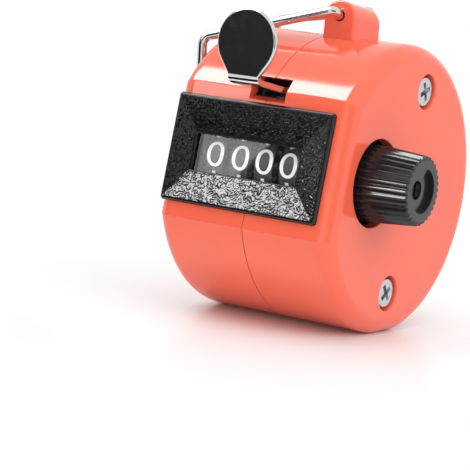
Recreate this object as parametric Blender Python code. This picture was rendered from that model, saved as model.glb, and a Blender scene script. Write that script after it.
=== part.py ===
# Hand tally counter with four digit wheels, as an assembly of its separate pieces.
#
# The drum's axis runs along X, from the left disc to the right disc with the knob. The front,
# with the window, faces -Y. Heights in the functions count from the drum's axis, and at() lifts
# them so that the counter's small resting flat lies on Z = 0.

from math import acos, atan2, cos, pi, radians, sin, sqrt

import bmesh
import bpy
from mathutils import Vector

MM = 0.001

# Case: a drum in two halves. The front flat and the resting flat cut a little off its round.
DRUM_RADIUS = 22.0 * MM
DRUM_EDGE_RADIUS = 2.4 * MM
WALL = 1.7 * MM
REST_CUT = 0.2 * MM
FLAT_CUT = 2.5 * MM
REST_DEPTH = DRUM_RADIUS - REST_CUT
FLAT_DEPTH = DRUM_RADIUS - FLAT_CUT
FLAT_TILT = radians(10.0)
SEAM_X = 0.25 * MM
SEAM_GAP = 0.1 * MM
SEAM_LIP_LENGTH = 1.0 * MM
SEAM_LIP_INSET = 1.0 * MM
SEAM_LIP_GAP = 0.1 * MM
LONG_ARC_STEPS = 40
SHORT_ARC_STEPS = 12
EDGE_STEPS = 4
OVERRUN = 1.0 * MM
SMOOTH_ANGLE = radians(32.0)

# Clearances.
SEAT_GAP = 0.15 * MM
RUN_GAP = 0.06 * MM
SIDE_GAP = 0.2 * MM
FIT_GAP = 0.15 * MM
WELD_SHARE = 0.1

# Digit wheels on the main shaft. The wheels' rims stand WHEEL_SINK behind the front flat.
WHEEL_RADIUS = 7.0 * MM
WHEEL_SINK = 3.323 * MM
SHAFT_HEIGHT = -0.0138 * MM
WHEEL_WIDTH = 3.1 * MM
WHEEL_PITCH = 4.39 * MM
WHEELS_CENTRE = -2.17 * MM
WHEEL_NAMES = ("thousands_wheel", "hundreds_wheel", "tens_wheel", "units_wheel")
UNITS = len(WHEEL_NAMES) - 1
WHEELS_LEFT = WHEELS_CENTRE - (UNITS * WHEEL_PITCH + WHEEL_WIDTH) / 2
WHEELS_RIGHT = WHEELS_CENTRE + (UNITS * WHEEL_PITCH + WHEEL_WIDTH) / 2
SHAFT_RADIUS = 1.0 * MM
GROOVE_WIDTH = 0.5 * MM
GROOVE_DEPTH = 0.35 * MM
WEB = 1.0 * MM
RIM_WALL = 1.2 * MM
RIM_INNER = WHEEL_RADIUS - RIM_WALL
RING_WALL = 0.7 * MM
CARRY_WIDTH = 0.5 * MM
RATCHET_HUB_RADIUS = 1.55 * MM

# Window bezel and lens, across (u, along X) and up (v) on the front flat. The window spans the
# wheels, the bezel spans the window and the drum spans the bezel. Depths count from the axis.
WINDOW_LEFT_SPACE = 1.095 * MM
WINDOW_RIGHT_SPACE = 1.235 * MM
WINDOW_LEFT = WHEELS_LEFT - WINDOW_LEFT_SPACE
WINDOW_RIGHT = WHEELS_RIGHT + WINDOW_RIGHT_SPACE
WINDOW_BOTTOM = -3.1 * MM
WINDOW_TOP = 3.35 * MM
WINDOW_CORNER = 0.4 * MM
WINDOW_DEPTH = 2.0 * MM
SLOPE_LEFT = 3.2 * MM
SLOPE_RIGHT = 5.3 * MM
SLOPE_BOTTOM = 4.95 * MM
SLOPE_TOP = 5.0 * MM
BEZEL_LEFT = WINDOW_LEFT - SLOPE_LEFT
BEZEL_RIGHT = WINDOW_RIGHT + SLOPE_RIGHT
BEZEL_BOTTOM = WINDOW_BOTTOM - SLOPE_BOTTOM
BEZEL_TOP = WINDOW_TOP + SLOPE_TOP
BEZEL_SIDE_SPACE = 0.6 * MM
DRUM_HALF_WIDTH = BEZEL_SIDE_SPACE - BEZEL_LEFT
BEZEL_PROUD = 0.8 * MM
BEZEL_CORNER = 1.3 * MM
BEZEL_RIM_ROUND = 0.4 * MM
BEZEL_RIM = 1.2 * MM
LIP_THICKNESS = 0.35 * MM
LIP_WIDTH = 0.8 * MM
LENS_THICKNESS = 0.7 * MM
LENS_GAP = 0.1 * MM
FUNNEL_LEFT_INSET = 1.4 * MM
FUNNEL_RIGHT_INSET = 1.6 * MM
FUNNEL_END_INSET = 1.45 * MM
FUNNEL_LEFT = BEZEL_LEFT + FUNNEL_LEFT_INSET
FUNNEL_RIGHT = BEZEL_RIGHT - FUNNEL_RIGHT_INSET
FUNNEL_BOTTOM = BEZEL_BOTTOM + FUNNEL_END_INSET
FUNNEL_TOP = BEZEL_TOP - FUNNEL_END_INSET
FUNNEL_WALL = 0.8 * MM

# Transfer gearing. The ring gears' tips stay TIP_SINK below the wheels' rims.
RING_TEETH = 20
PINION_TEETH = 8
ADDENDUM_SHARE = 0.85
DEDENDUM_SHARE = 1.3
TIP_SINK = 0.49 * MM
MODULE = (WHEEL_RADIUS - TIP_SINK) / (RING_TEETH / 2 + ADDENDUM_SHARE)
ROOT_WALL = 0.62 * MM
RING_INNER = MODULE * (RING_TEETH / 2 - DEDENDUM_SHARE) - ROOT_WALL
TOOTH_ROOT_SHARE = 0.62
TOOTH_TIP_SHARE = 0.26
PINION_DISTANCE = MODULE * (RING_TEETH + PINION_TEETH) / 2
PINION_TIP = MODULE * (PINION_TEETH / 2 + ADDENDUM_SHARE)
PINION_WIDTH = 1.0 * MM
PINION_TEETH_SHARE = 0.5
PINION_SHAFT_RADIUS = 0.6 * MM
CARRY_TEETH = (-1, -2)

# Ratchet wheel and the two pawls.
RATCHET_TEETH = 10
RATCHET_TIP = 2.5 * MM
RATCHET_ROOT = 1.95 * MM
RATCHET_TOOTH_SHARES = (0.0, 0.1, 0.55)
RATCHET_WIDTH = 0.8 * MM
RATCHET_SPACE = 0.185 * MM
RATCHET_X = WHEELS_RIGHT + RATCHET_SPACE
RATCHET_END = RATCHET_X + RATCHET_WIDTH
PAWL_BOSS = 1.1 * MM
PAWL_NOSE = 0.7 * MM
PAWL_PIN_RADIUS = 0.45 * MM
PAWL_NOSE_GAP = 0.2 * MM
DRIVE_PAWL_DROP = 5.2 * MM
HOLDING_PIN_INSET = 0.8 * MM
HOLDING_PAWL_REACH = WHEEL_RADIUS - HOLDING_PIN_INSET
HOLDING_PAWL_ANGLE = radians(-60.0)
RESET_PAWL_INSET = 1.9 * MM
RESET_PAWL_RADIUS = RIM_INNER - RESET_PAWL_INSET
RESET_PAWL_ANGLE = radians(70.0)
RESET_POST_RADIUS = 0.45 * MM
RESET_PAWL_BOSS = 0.95 * MM
RESET_PAWL_NOSE = 0.55 * MM
RESET_PAWL_WIDTH = 0.9 * MM

# The lever's arm beside the ratchet wheel.
ARM_SPACE = 0.35 * MM
ARM_THICKNESS = 0.8 * MM
ARM_X = RATCHET_END + ARM_SPACE
ARM_END = ARM_X + ARM_THICKNESS

# Mechanism frame: a steel strip bent to a U, its web just behind the pinions. The plates' outline
# and the posts that hold it are in shares of the drum's radius.
PLATE = 0.8 * MM
WHEEL_SPACE = 0.495 * MM
ARM_PLATE_SPACE = 1.5 * MM
LEFT_PLATE_X = WHEELS_LEFT - WHEEL_SPACE - PLATE
LEFT_PLATE_END = LEFT_PLATE_X + PLATE
RIGHT_PLATE_X = ARM_END + ARM_PLATE_SPACE
RIGHT_PLATE_END = RIGHT_PLATE_X + PLATE
WEB_SPACE = 0.73 * MM
WEB_LOW_Z = -4.5 * MM
WEB_HIGH_Z = 7.5 * MM
PLATE_BACK_SHARES = (-0.2364, 0.3727)
PLATE_FRONT_SHARES = (
    (-0.2273, 0.5864),
    (-0.5136, 0.6773),
    (-0.5864, 0.6682),
    (-0.6455, 0.6136),
    (-0.6455, 0.5455),
    (-0.6091, 0.3864),
    (-0.6818, 0.2273),
    (-0.7, -0.1364),
    (-0.6636, -0.3909),
    (-0.5273, -0.4091),
    (-0.1818, -0.2909),
)
POST_RADIUS = 1.2 * MM
POST_PLACE_SHARES = ((0.1, 0.2955), (0.1, -0.1591), (-0.5773, -0.3273))
BUSH_WALL = 0.45 * MM
BUSH_FLANGE = 0.5 * MM
BUSH_FLANGE_THICKNESS = 0.25 * MM
PIN_OVERHANG = 0.9 * MM
PIN_HEAD = 0.5 * MM
CLIP_THICKNESS = 0.3 * MM
CLIP_WIDTH = 0.6 * MM
CLIP_GROOVE = 0.15 * MM
CLIP_OPENING = radians(70.0)

# Thumb lever. The pivot keeps its distance from the drum's rim, and the pad stands before it.
LEVER_X = 0.3 * MM
PIVOT_INSET = 3.752 * MM
PIVOT_HEIGHT = 10.8115 * MM
PIVOT_PIN_RADIUS = 0.6 * MM
SLEEVE_RADIUS = 1.2 * MM
SLEEVE_SPACE = 2.8 * MM
SLEEVE_LEFT = LEFT_PLATE_END + SLEEVE_SPACE
STRIP = 0.9 * MM
TONGUE_WIDTH = 5.2 * MM
TONGUE_RISE = radians(8.5)
BEND_RADIUS = 1.5 * MM
LEVER_REACH = 12.3 * MM
PAD_RISE = 7.3 * MM
PAD_RADIUS = 4.95 * MM
PAD_STEPS = 40
PAD_FOOT_RISE = 4.4 * MM
ARM_FOOT_SHARE = 1.7
STOP_RADIUS = 0.35 * MM
STOP_REACH_SHARE = 0.2
SLOT_HALF_WIDTH = 3.05 * MM
SLOT_TOP = 12.5 * MM
RAMP_FOOT = 8.75 * MM
RAMP_HEAD = 9.55 * MM
SLOT_OVERCUT = 0.495 * MM
SLOT_FRONT_REACH = 3.5 * MM

# Springs.
RETURN_COIL_RADIUS = 1.62 * MM
RETURN_WIRE = 0.2 * MM
RETURN_TURNS = 5
RETURN_PITCH = 0.85 * MM
RETURN_SPACE = 0.6 * MM
RETURN_START_X = SLEEVE_LEFT + RETURN_SPACE
RETURN_START = radians(-20.0)
RETURN_END = radians(205.0)
RETURN_LEG = 2.2 * MM
COIL_POINTS = 10
LEAF = 0.2 * MM
LEAF_WIDTH = 0.5 * MM
LEAF_GAP = 0.2 * MM
LEAF_CLIP_TURN = radians(220.0)
LEAF_REACH_SHARE = 0.62

# Reset knob: a cup on the main shaft, through the hole in the right disc.
KNOB_SINK = 4.2 * MM
KNOB_REACH = 7.8 * MM
KNOB_INNER_X = DRUM_HALF_WIDTH - KNOB_SINK
KNOB_TAPER_X = DRUM_HALF_WIDTH
KNOB_END_X = DRUM_HALF_WIDTH + KNOB_REACH
KNOB_INNER_RADIUS = 5.75 * MM
KNOB_TAPER = 0.6 * MM
KNOB_END_RADIUS = KNOB_INNER_RADIUS - KNOB_TAPER
KNOB_CHAMFER = 0.3 * MM
KNOB_HOLE_GAP = 0.8 * MM
KNOB_HOLE_RADIUS = KNOB_INNER_RADIUS + KNOB_HOLE_GAP
FLUTES = 30
FLUTE_DEPTH = 0.45 * MM
FLUTE_SHARES = (0.0, 0.5, 1.0, 0.5)
CUP_WALL = 1.2 * MM
CUP_RADIUS = KNOB_INNER_RADIUS - FLUTE_DEPTH - CUP_WALL
CUP_END_WALL = 4.8 * MM
CUP_FLOOR_X = KNOB_END_X - CUP_END_WALL
SHAFT_SEAT = 0.8 * MM
SHAFT_TAIL = 1.0 * MM
SHAFT_LEFT = LEFT_PLATE_X - SHAFT_TAIL
SHAFT_RIGHT = CUP_FLOOR_X + SHAFT_SEAT
DRIVER_GAP = 0.4 * MM
DRIVER_RADIUS = CUP_RADIUS - DRIVER_GAP
DRIVER_THICKNESS = 1.2 * MM
CRESCENT_DEPTH = 1.2 * MM
CRESCENT_OUTER = 3.3 * MM
CRESCENT_INNER = 2.1 * MM
CRESCENT_FROM = radians(-137.0)
CRESCENT_TO = radians(80.0)
KNOB_SCREW_Y = -2.06 * MM
KNOB_SCREW_Z = 0.25 * MM
KNOB_SCREW_HOLE = 1.4 * MM
KNOB_SCREW_DEPTH = 2.5 * MM
KNOB_SCREW_HEAD = 1.2 * MM
KNOB_SCREW_HEAD_HEIGHT = 0.8 * MM
KNOB_SCREW_SHANK = 0.5 * MM
KNOB_SCREW_LENGTH = 2.4 * MM

# Case screws, set in from the drum's rim.
UPPER_SCREW_INSET = 6.49 * MM
UPPER_SCREW_ANGLE = radians(75.7)
LOWER_SCREW_INSET = 6.44 * MM
LOWER_SCREW_ANGLE = radians(-95.86)
SCREW_HEAD_RADIUS = 2.25 * MM
SCREW_HEAD_HEIGHT = 1.1 * MM
SCREW_SINK = 0.35 * MM
SCREW_SHANK = 1.2 * MM
SCREW_TIP_SPACE = 4.5 * MM
SCREW_TIP_X = SCREW_TIP_SPACE + WALL - DRUM_HALF_WIDTH
PILOT_SPACE = 1.125 * MM
COUNTERBORE_RADIUS = 2.65 * MM
COUNTERBORE_DEPTH = 1.6 * MM
BOSS_RADIUS = 2.7 * MM
BOSS_BORE_GAP = 0.15 * MM
RECESS_WIDTH = 0.55 * MM
RECESS_REACH = 1.25 * MM
RECESS_DEPTH = 0.8 * MM

# Lug and finger ring. The lug stands on the drum's round.
LUG_X = 3.15 * MM
LUG_HALF_WIDTH = 2.65 * MM
LUG_HALF_LENGTH = 4.05 * MM
LUG_HEIGHT = 5.5 * MM
LUG_TOP = DRUM_RADIUS + LUG_HEIGHT
LUG_DROP = 1.05 * MM
LUG_BACK_ROUND = 0.3 * MM
LUG_FRONT_ROUND = 0.3 * MM
LUG_ROOT = 1.5 * MM
LUG_BASE = DRUM_RADIUS - LUG_ROOT
LUG_FOOT_RISE = 0.4 * MM
LUG_FOOT = DRUM_RADIUS + LUG_FOOT_RISE
LUG_FLARE = 0.5 * MM
LUG_STEPS = 12
LUG_BACK_STEPS = 4
RING_WIRE = 0.75 * MM
RING_HOLE_GAP = 0.15 * MM
RING_HOLE = RING_WIRE + RING_HOLE_GAP
RING_DROP = 2.3 * MM
RING_Z = LUG_TOP - RING_DROP
RING_PLUG = 1.4 * MM
RING_EXIT = 1.55 * MM
RING_EXIT_Y = LUG_HALF_LENGTH + RING_EXIT
RING_BEND = 1.2 * MM
RING_CORNER_SPACE = 2.4 * MM
RING_CORNER_X = -DRUM_HALF_WIDTH - RING_CORNER_SPACE
RING_CORNER_DROP = 2.3 * MM
RING_CORNER_Z = DRUM_RADIUS - RING_CORNER_DROP
RING_CORNER_BEND = 2.2 * MM
RING_LOOP_RADIUS = 10.5 * MM
RING_LOOP_STRAIGHT = 4.6 * MM
RING_LOOP_LEAN = radians(6.0)

PIVOT_DEPTH = sqrt((DRUM_RADIUS - PIVOT_INSET) ** 2 - PIVOT_HEIGHT ** 2)
TO_FLAT = Vector((0, -cos(FLAT_TILT), sin(FLAT_TILT)))
UP_FLAT = Vector((0, sin(FLAT_TILT), cos(FLAT_TILT)))
SHAFT_ORIGIN = TO_FLAT * (FLAT_DEPTH - WHEEL_SINK - WHEEL_RADIUS) + UP_FLAT * SHAFT_HEIGHT
PIVOT_ORIGIN = TO_FLAT * PIVOT_DEPTH + UP_FLAT * PIVOT_HEIGHT
PINION_ORIGIN = SHAFT_ORIGIN + Vector((0, PINION_DISTANCE, 0))
WEB_FRONT_Y = PINION_ORIGIN.y + PINION_TIP + WEB_SPACE
TO_SHAFT = (SHAFT_ORIGIN - PIVOT_ORIGIN).normalized()
DRIVE_PAWL_ORIGIN = PIVOT_ORIGIN + TO_SHAFT * DRIVE_PAWL_DROP
HOLDING_DIRECTION = Vector((0, cos(HOLDING_PAWL_ANGLE), sin(HOLDING_PAWL_ANGLE)))
HOLDING_PAWL_ORIGIN = SHAFT_ORIGIN + HOLDING_DIRECTION * HOLDING_PAWL_REACH
RING_ORIGIN = Vector((LUG_X, 0, RING_Z))
AXIS_ORIGIN = Vector((0, 0, 0))


def clear_scene():
    """Removes every object, so that only the counter is in the scene."""
    for obj in list(bpy.data.objects):
        bpy.data.objects.remove(obj, do_unlink=True)


def at(point):
    """A point counted from the drum's axis, in the scene, where the resting flat is at zero."""
    return Vector((point[0], point[1], point[2] + REST_DEPTH))


def make_material(name, colour, roughness, metallic=0.0, alpha=1.0):
    """A Principled material with one colour."""
    material = bpy.data.materials.new(name)
    material.use_nodes = True
    shader = material.node_tree.nodes["Principled BSDF"]
    shader.inputs["Base Color"].default_value = (*colour, 1.0)
    shader.inputs["Roughness"].default_value = roughness
    shader.inputs["Metallic"].default_value = metallic
    shader.inputs["Alpha"].default_value = alpha
    material.diffuse_color = (*colour, 1.0)
    return material


def object_from(name, bm, origin, material):
    """Makes an object of a bmesh whose points count from origin."""
    bmesh.ops.recalc_face_normals(bm, faces=bm.faces[:])
    mesh = bpy.data.meshes.new(name)
    bm.to_mesh(mesh)
    bm.free()
    mesh.shade_smooth()
    mesh.set_sharp_from_angle(angle=SMOOTH_ANGLE)
    if material:
        mesh.materials.append(material)
    obj = bpy.data.objects.new(name, mesh)
    obj.location = at(origin)
    bpy.context.scene.collection.objects.link(obj)
    return obj


def skin(name, rings, origin, material, ends="caps"):
    """A closed body through rings of equal count: capped at both ends, or looped end to start."""
    bm = bmesh.new()
    rows = [[bm.verts.new(point) for point in ring] for ring in rings]
    pairs = list(zip(rows, rows[1:]))
    if ends == "loop":
        pairs.append((rows[-1], rows[0]))
    for first, second in pairs:
        count = len(first)
        for i in range(count):
            j = (i + 1) % count
            bm.faces.new((first[i], first[j], second[j], second[i]))
    if ends == "caps":
        bm.faces.new(rows[0])
        bm.faces.new(rows[-1])
    return object_from(name, bm, origin, material)


def turned(name, rows, origin, material, segments=32):
    """A ring-shaped body about the X axis. Each row is (x, radius or list of radii)."""
    rings = []
    for x, radius in rows:
        radii = radius if isinstance(radius, list) else [radius] * segments
        angles = [2 * pi * (i + 0.5) / len(radii) for i in range(len(radii))]
        rings.append([(x, r * cos(a), r * sin(a)) for r, a in zip(radii, angles)])
    return skin(name, rings, origin, material, ends="loop")


def rod(name, rows, origin, material, segments=20):
    """A solid turned body about the X axis, with flat ends. Each row is (x, radius)."""
    angles = [2 * pi * (i + 0.5) / segments for i in range(segments)]
    rings = [[(x, r * cos(a), r * sin(a)) for a in angles] for x, r in rows]
    return skin(name, rings, origin, material)


def prism_x(name, outline, low, high, origin, material=None):
    """A (y, z) outline drawn out along X."""
    rings = [[(x, y, z) for y, z in outline] for x in (low, high)]
    return skin(name, rings, origin, material)


def box(name, low, high, origin, material=None):
    """A box between two corners."""
    outline = [(low[1], low[2]), (high[1], low[2]), (high[1], high[2]), (low[1], high[2])]
    return prism_x(name, outline, low[0], high[0], origin, material)


def tube(name, points, radius, origin, material, bevel_resolution=2):
    """A wire of one radius through points that count from origin, with closed ends."""
    curve = bpy.data.curves.new(name, "CURVE")
    curve.dimensions = "3D"
    curve.bevel_depth = radius
    curve.bevel_resolution = bevel_resolution
    curve.use_fill_caps = True
    spline = curve.splines.new("POLY")
    spline.points.add(len(points) - 1)
    for spline_point, point in zip(spline.points, points):
        spline_point.co = (*point, 1.0)
    spline.use_smooth = True
    curve.materials.append(material)
    obj = bpy.data.objects.new(name, curve)
    obj.location = at(origin)
    bpy.context.scene.collection.objects.link(obj)
    return obj


def combine(target, other, operation):
    """Cuts other out of target, or joins it on, and keeps other as a hidden helper."""
    other.hide_render = True
    other.display_type = "WIRE"
    modifier = target.modifiers.new(f"{operation.lower()} {other.name}", "BOOLEAN")
    modifier.operation = operation
    modifier.object = other
    modifier.solver = "EXACT"


def cut(target, *cutters):
    """Takes each cutter out of target."""
    for cutter in cutters:
        combine(target, cutter, "DIFFERENCE")


def join(target, *others):
    """Joins each of the others onto target."""
    for other in others:
        combine(target, other, "UNION")


def tilt_to_flat(obj):
    """Turns an object that was drawn facing -Y so that it faces as the front flat does."""
    obj.rotation_euler.x = -FLAT_TILT
    return obj


def arc(centre_y, centre_z, radius, start, end, steps):
    """Points (y, z) on an arc, both ends included."""
    angles = [start + (end - start) * i / steps for i in range(steps + 1)]
    return [(centre_y + radius * cos(a), centre_z + radius * sin(a)) for a in angles]


def rounded_corner(before, corner, after, radius, steps):
    """Points that round the corner of a path of vectors."""
    back = (before - corner).normalized()
    ahead = (after - corner).normalized()
    half = back.angle(ahead) / 2
    middle = (back + ahead).normalized()
    centre = corner + middle * (radius / sin(half))
    start = corner + back * (radius * cos(half) / sin(half)) - centre
    end = corner + ahead * (radius * cos(half) / sin(half)) - centre
    turn = start.angle(end)
    points = []
    for i in range(steps + 1):
        share = i / steps
        blend = start * sin((1 - share) * turn) + end * sin(share * turn)
        points.append(centre + blend / sin(turn))
    return points


def drum_section(x, inset):
    """The drum's outline at one place along X, drawn in by inset: two arcs and two chords."""
    radius = DRUM_RADIUS - inset
    front = pi - FLAT_TILT
    front_half = acos((FLAT_DEPTH - inset) / radius)
    rest_half = acos((REST_DEPTH - inset) / radius)
    over = arc(0, 0, radius, front - front_half, rest_half - pi / 2, LONG_ARC_STEPS)
    under = arc(0, 0, radius, -pi / 2 - rest_half, front + front_half - 2 * pi, SHORT_ARC_STEPS)
    return [(x, y, z) for y, z in over + under]


def drum_body(name, inset, low, high, material=None):
    """A straight drum-shaped body, drawn in by inset."""
    rings = [drum_section(low, inset), drum_section(high, inset)]
    return skin(name, rings, AXIS_ORIGIN, material)


def outer_half(name, side, seam, material):
    """The outside of one case half, from its seam to its disc, with the disc's rounded edge."""
    rings = [drum_section(seam, 0)]
    for i in range(EDGE_STEPS + 1):
        turn = pi / 2 * i / EDGE_STEPS
        inset = DRUM_EDGE_RADIUS * (1 - cos(turn))
        x = DRUM_HALF_WIDTH - DRUM_EDGE_RADIUS * (1 - sin(turn))
        rings.append(drum_section(side * x, inset))
    return skin(name, rings, AXIS_ORIGIN, material)


def flat_box(name, left, right, bottom, top, back, front):
    """A box on the front flat, between two depths from the drum's axis."""
    return tilt_to_flat(box(name, (left, -front, bottom), (right, -back, top), AXIS_ORIGIN))


def slot_cutter(name):
    """The lever's slot and the ramp under it, through the case wall."""
    inner_wall = FLAT_DEPTH - WALL
    back = sqrt((DRUM_RADIUS - WALL) ** 2 - SLOT_TOP ** 2) - SLOT_OVERCUT
    front = FLAT_DEPTH + SLOT_FRONT_REACH
    outline = [
        (-back, SLOT_TOP),
        (-back, RAMP_HEAD),
        (-inner_wall, RAMP_HEAD),
        (-FLAT_DEPTH, RAMP_FOOT),
        (-front, RAMP_FOOT),
        (-front, SLOT_TOP),
    ]
    left = LEVER_X - SLOT_HALF_WIDTH
    right = LEVER_X + SLOT_HALF_WIDTH
    return tilt_to_flat(prism_x(name, outline, left, right, AXIS_ORIGIN))


def window_cutter(name):
    """The opening in the front flat that the bezel's funnel goes into."""
    return flat_box(
        name,
        FUNNEL_LEFT - FIT_GAP,
        FUNNEL_RIGHT + FIT_GAP,
        FUNNEL_BOTTOM - FIT_GAP,
        FUNNEL_TOP + FIT_GAP,
        FLAT_DEPTH - WALL - OVERRUN,
        FLAT_DEPTH + OVERRUN,
    )


def screw_origin(upper):
    """Where a case screw's axis runs."""
    inset = UPPER_SCREW_INSET if upper else LOWER_SCREW_INSET
    turn = UPPER_SCREW_ANGLE if upper else LOWER_SCREW_ANGLE
    return Vector((0, cos(turn), sin(turn))) * (DRUM_RADIUS - inset)


def post_origins():
    """Where the axes of the posts that hold the frame run."""
    return [Vector((0, y, z)) * DRUM_RADIUS for y, z in POST_PLACE_SHARES]


def build_left_half(material):
    """The left case half: shell, seam lip, screw bosses and the posts that hold the frame."""
    seam = SEAM_X - SEAM_GAP / 2
    inner_x = -DRUM_HALF_WIDTH + WALL
    half = outer_half("left_case_half", -1, seam, material)
    join(half, drum_body("left_lip", SEAM_LIP_INSET, seam - OVERRUN, seam + SEAM_LIP_LENGTH))
    cut(half, drum_body("left_hollow", WALL, inner_x, seam + SEAM_LIP_LENGTH + OVERRUN))
    for upper in (True, False):
        label = "upper" if upper else "lower"
        origin = screw_origin(upper)
        boss_rows = [(inner_x - OVERRUN, BOSS_RADIUS), (seam, BOSS_RADIUS)]
        join(half, rod(f"left_boss_{label}", boss_rows, origin, None, 24))
        pilot = SCREW_SHANK + RUN_GAP
        pilot_rows = [(SCREW_TIP_X - PILOT_SPACE, pilot), (seam + OVERRUN, pilot)]
        cut(half, rod(f"left_pilot_{label}", pilot_rows, origin, None, 16))
    for i, origin in enumerate(post_origins()):
        rows = [(inner_x - OVERRUN, POST_RADIUS), (LEFT_PLATE_X - SEAT_GAP, POST_RADIUS)]
        join(half, rod(f"left_post_{i}", rows, origin, None, 12))
    cut(half, window_cutter("left_window"), slot_cutter("left_slot"))
    return half


def lug_ring(y, top, base_flare):
    """The lug's arch-shaped outline at one place along Y. Its left side stands at the seam."""
    crown = top - LUG_HALF_WIDTH
    half = LUG_HALF_WIDTH
    flare = LUG_FLARE * base_flare
    points = [(LUG_X - half, y, LUG_BASE), (LUG_X - half, y, LUG_FOOT)]
    for i in range(LUG_STEPS + 1):
        turn = pi * (1 - i / LUG_STEPS)
        points.append((LUG_X + half * cos(turn), y, crown + half * sin(turn)))
    points += [(LUG_X + half, y, LUG_FOOT), (LUG_X + half + flare, y, LUG_BASE)]
    return points


def build_lug():
    """The lug for the finger ring: an arch drawn out front to back, falling to a rounded back."""
    rings = []
    front = -LUG_HALF_LENGTH
    rings.append(lug_ring(front, LUG_TOP - LUG_FRONT_ROUND, 0))
    rings.append(lug_ring(front + LUG_FRONT_ROUND, LUG_TOP, 1))
    for i in range(LUG_BACK_STEPS + 1):
        turn = pi / 2 * i / LUG_BACK_STEPS
        y = LUG_HALF_LENGTH - LUG_BACK_ROUND * (1 - sin(turn))
        top = LUG_TOP - LUG_DROP - LUG_BACK_ROUND * (1 - cos(turn))
        rings.append(lug_ring(y, top, 1))
    return skin("lug", rings, AXIS_ORIGIN, None)


def build_right_half(material):
    """The right case half: shell, lug, knob hole, counterbored screw bosses and posts."""
    seam = SEAM_X + SEAM_GAP / 2
    inner_x = DRUM_HALF_WIDTH - WALL
    rebate = SEAM_LIP_INSET - SEAM_LIP_GAP
    rebate_end = seam + SEAM_LIP_LENGTH + SEAT_GAP
    half = outer_half("right_case_half", 1, seam, material)
    join(half, build_lug())
    rings = [
        drum_section(seam - OVERRUN, rebate),
        drum_section(rebate_end, rebate),
        drum_section(rebate_end, WALL),
        drum_section(inner_x, WALL),
    ]
    cut(half, skin("right_hollow", rings, AXIS_ORIGIN, None))
    for upper in (True, False):
        label = "upper" if upper else "lower"
        origin = screw_origin(upper)
        boss_rows = [(seam, BOSS_RADIUS), (inner_x + COUNTERBORE_DEPTH / 2, BOSS_RADIUS)]
        join(half, rod(f"right_boss_{label}", boss_rows, origin, None, 24))
        floor = DRUM_HALF_WIDTH - COUNTERBORE_DEPTH
        bore = SCREW_SHANK + BOSS_BORE_GAP
        bore_rows = [
            (seam - OVERRUN, bore),
            (floor, bore),
            (floor, COUNTERBORE_RADIUS),
            (DRUM_HALF_WIDTH + OVERRUN, COUNTERBORE_RADIUS),
        ]
        cut(half, rod(f"right_bore_{label}", bore_rows, origin, None, 24))
    root = inner_x + COUNTERBORE_DEPTH / 2
    for i, origin in enumerate(post_origins()):
        rows = [(RIGHT_PLATE_END + SEAT_GAP, POST_RADIUS), (root, POST_RADIUS)]
        join(half, rod(f"right_post_{i}", rows, origin, None, 12))
    outside = DRUM_HALF_WIDTH + OVERRUN
    hole_rows = [(inner_x - OVERRUN, KNOB_HOLE_RADIUS), (outside, KNOB_HOLE_RADIUS)]
    cut(half, rod("knob_hole", hole_rows, SHAFT_ORIGIN, None, 48))
    ring_hole = tube(
        "ring_hole_guide",
        [(0, -LUG_HALF_LENGTH - OVERRUN, 0), (0, LUG_HALF_LENGTH + OVERRUN, 0)],
        RING_HOLE,
        RING_ORIGIN,
        material,
    )
    cut(half, window_cutter("right_window"), slot_cutter("right_slot"))
    cut(half, as_mesh("ring_hole", ring_hole))
    return half


def as_mesh(name, curve_object):
    """A mesh object of a curve, in the curve's place. The curve is removed."""
    graph = bpy.context.evaluated_depsgraph_get()
    mesh = bpy.data.meshes.new_from_object(curve_object.evaluated_get(graph))
    obj = bpy.data.objects.new(name, mesh)
    obj.location = curve_object.location
    bpy.context.scene.collection.objects.link(obj)
    bpy.data.objects.remove(curve_object, do_unlink=True)
    bm = bmesh.new()
    bm.from_mesh(mesh)
    bmesh.ops.remove_doubles(bm, verts=bm.verts[:], dist=RUN_GAP * WELD_SHARE)
    bmesh.ops.recalc_face_normals(bm, faces=bm.faces[:])
    bm.to_mesh(mesh)
    bm.free()
    return obj


def flat_ring(left, right, bottom, top, corner, depth, corner_steps=3):
    """A rounded rectangle facing -Y at a depth from the drum's axis."""
    points = []
    corners = (
        (right - corner, top - corner, 0.0),
        (left + corner, top - corner, pi / 2),
        (left + corner, bottom + corner, pi),
        (right - corner, bottom + corner, 3 * pi / 2),
    )
    for u, v, start in corners:
        for i in range(corner_steps + 1):
            turn = start + pi / 2 * i / corner_steps
            points.append((u + corner * cos(turn), -depth, v + corner * sin(turn)))
    return points


def bezel_ring(inset, depth):
    """The bezel's outer outline, drawn in by inset."""
    return flat_ring(
        BEZEL_LEFT + inset,
        BEZEL_RIGHT - inset,
        BEZEL_BOTTOM + inset,
        BEZEL_TOP - inset,
        max(BEZEL_CORNER - inset, WINDOW_CORNER),
        depth,
    )


def window_ring(outset, depth):
    """The window's outline, drawn out by outset."""
    return flat_ring(
        WINDOW_LEFT - outset,
        WINDOW_RIGHT + outset,
        WINDOW_BOTTOM - outset,
        WINDOW_TOP + outset,
        WINDOW_CORNER,
        depth,
    )


def funnel_ring(depth):
    """The outline of the bezel's funnel, which goes through the front flat."""
    return flat_ring(FUNNEL_LEFT, FUNNEL_RIGHT, FUNNEL_BOTTOM, FUNNEL_TOP, WINDOW_CORNER, depth)


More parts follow.
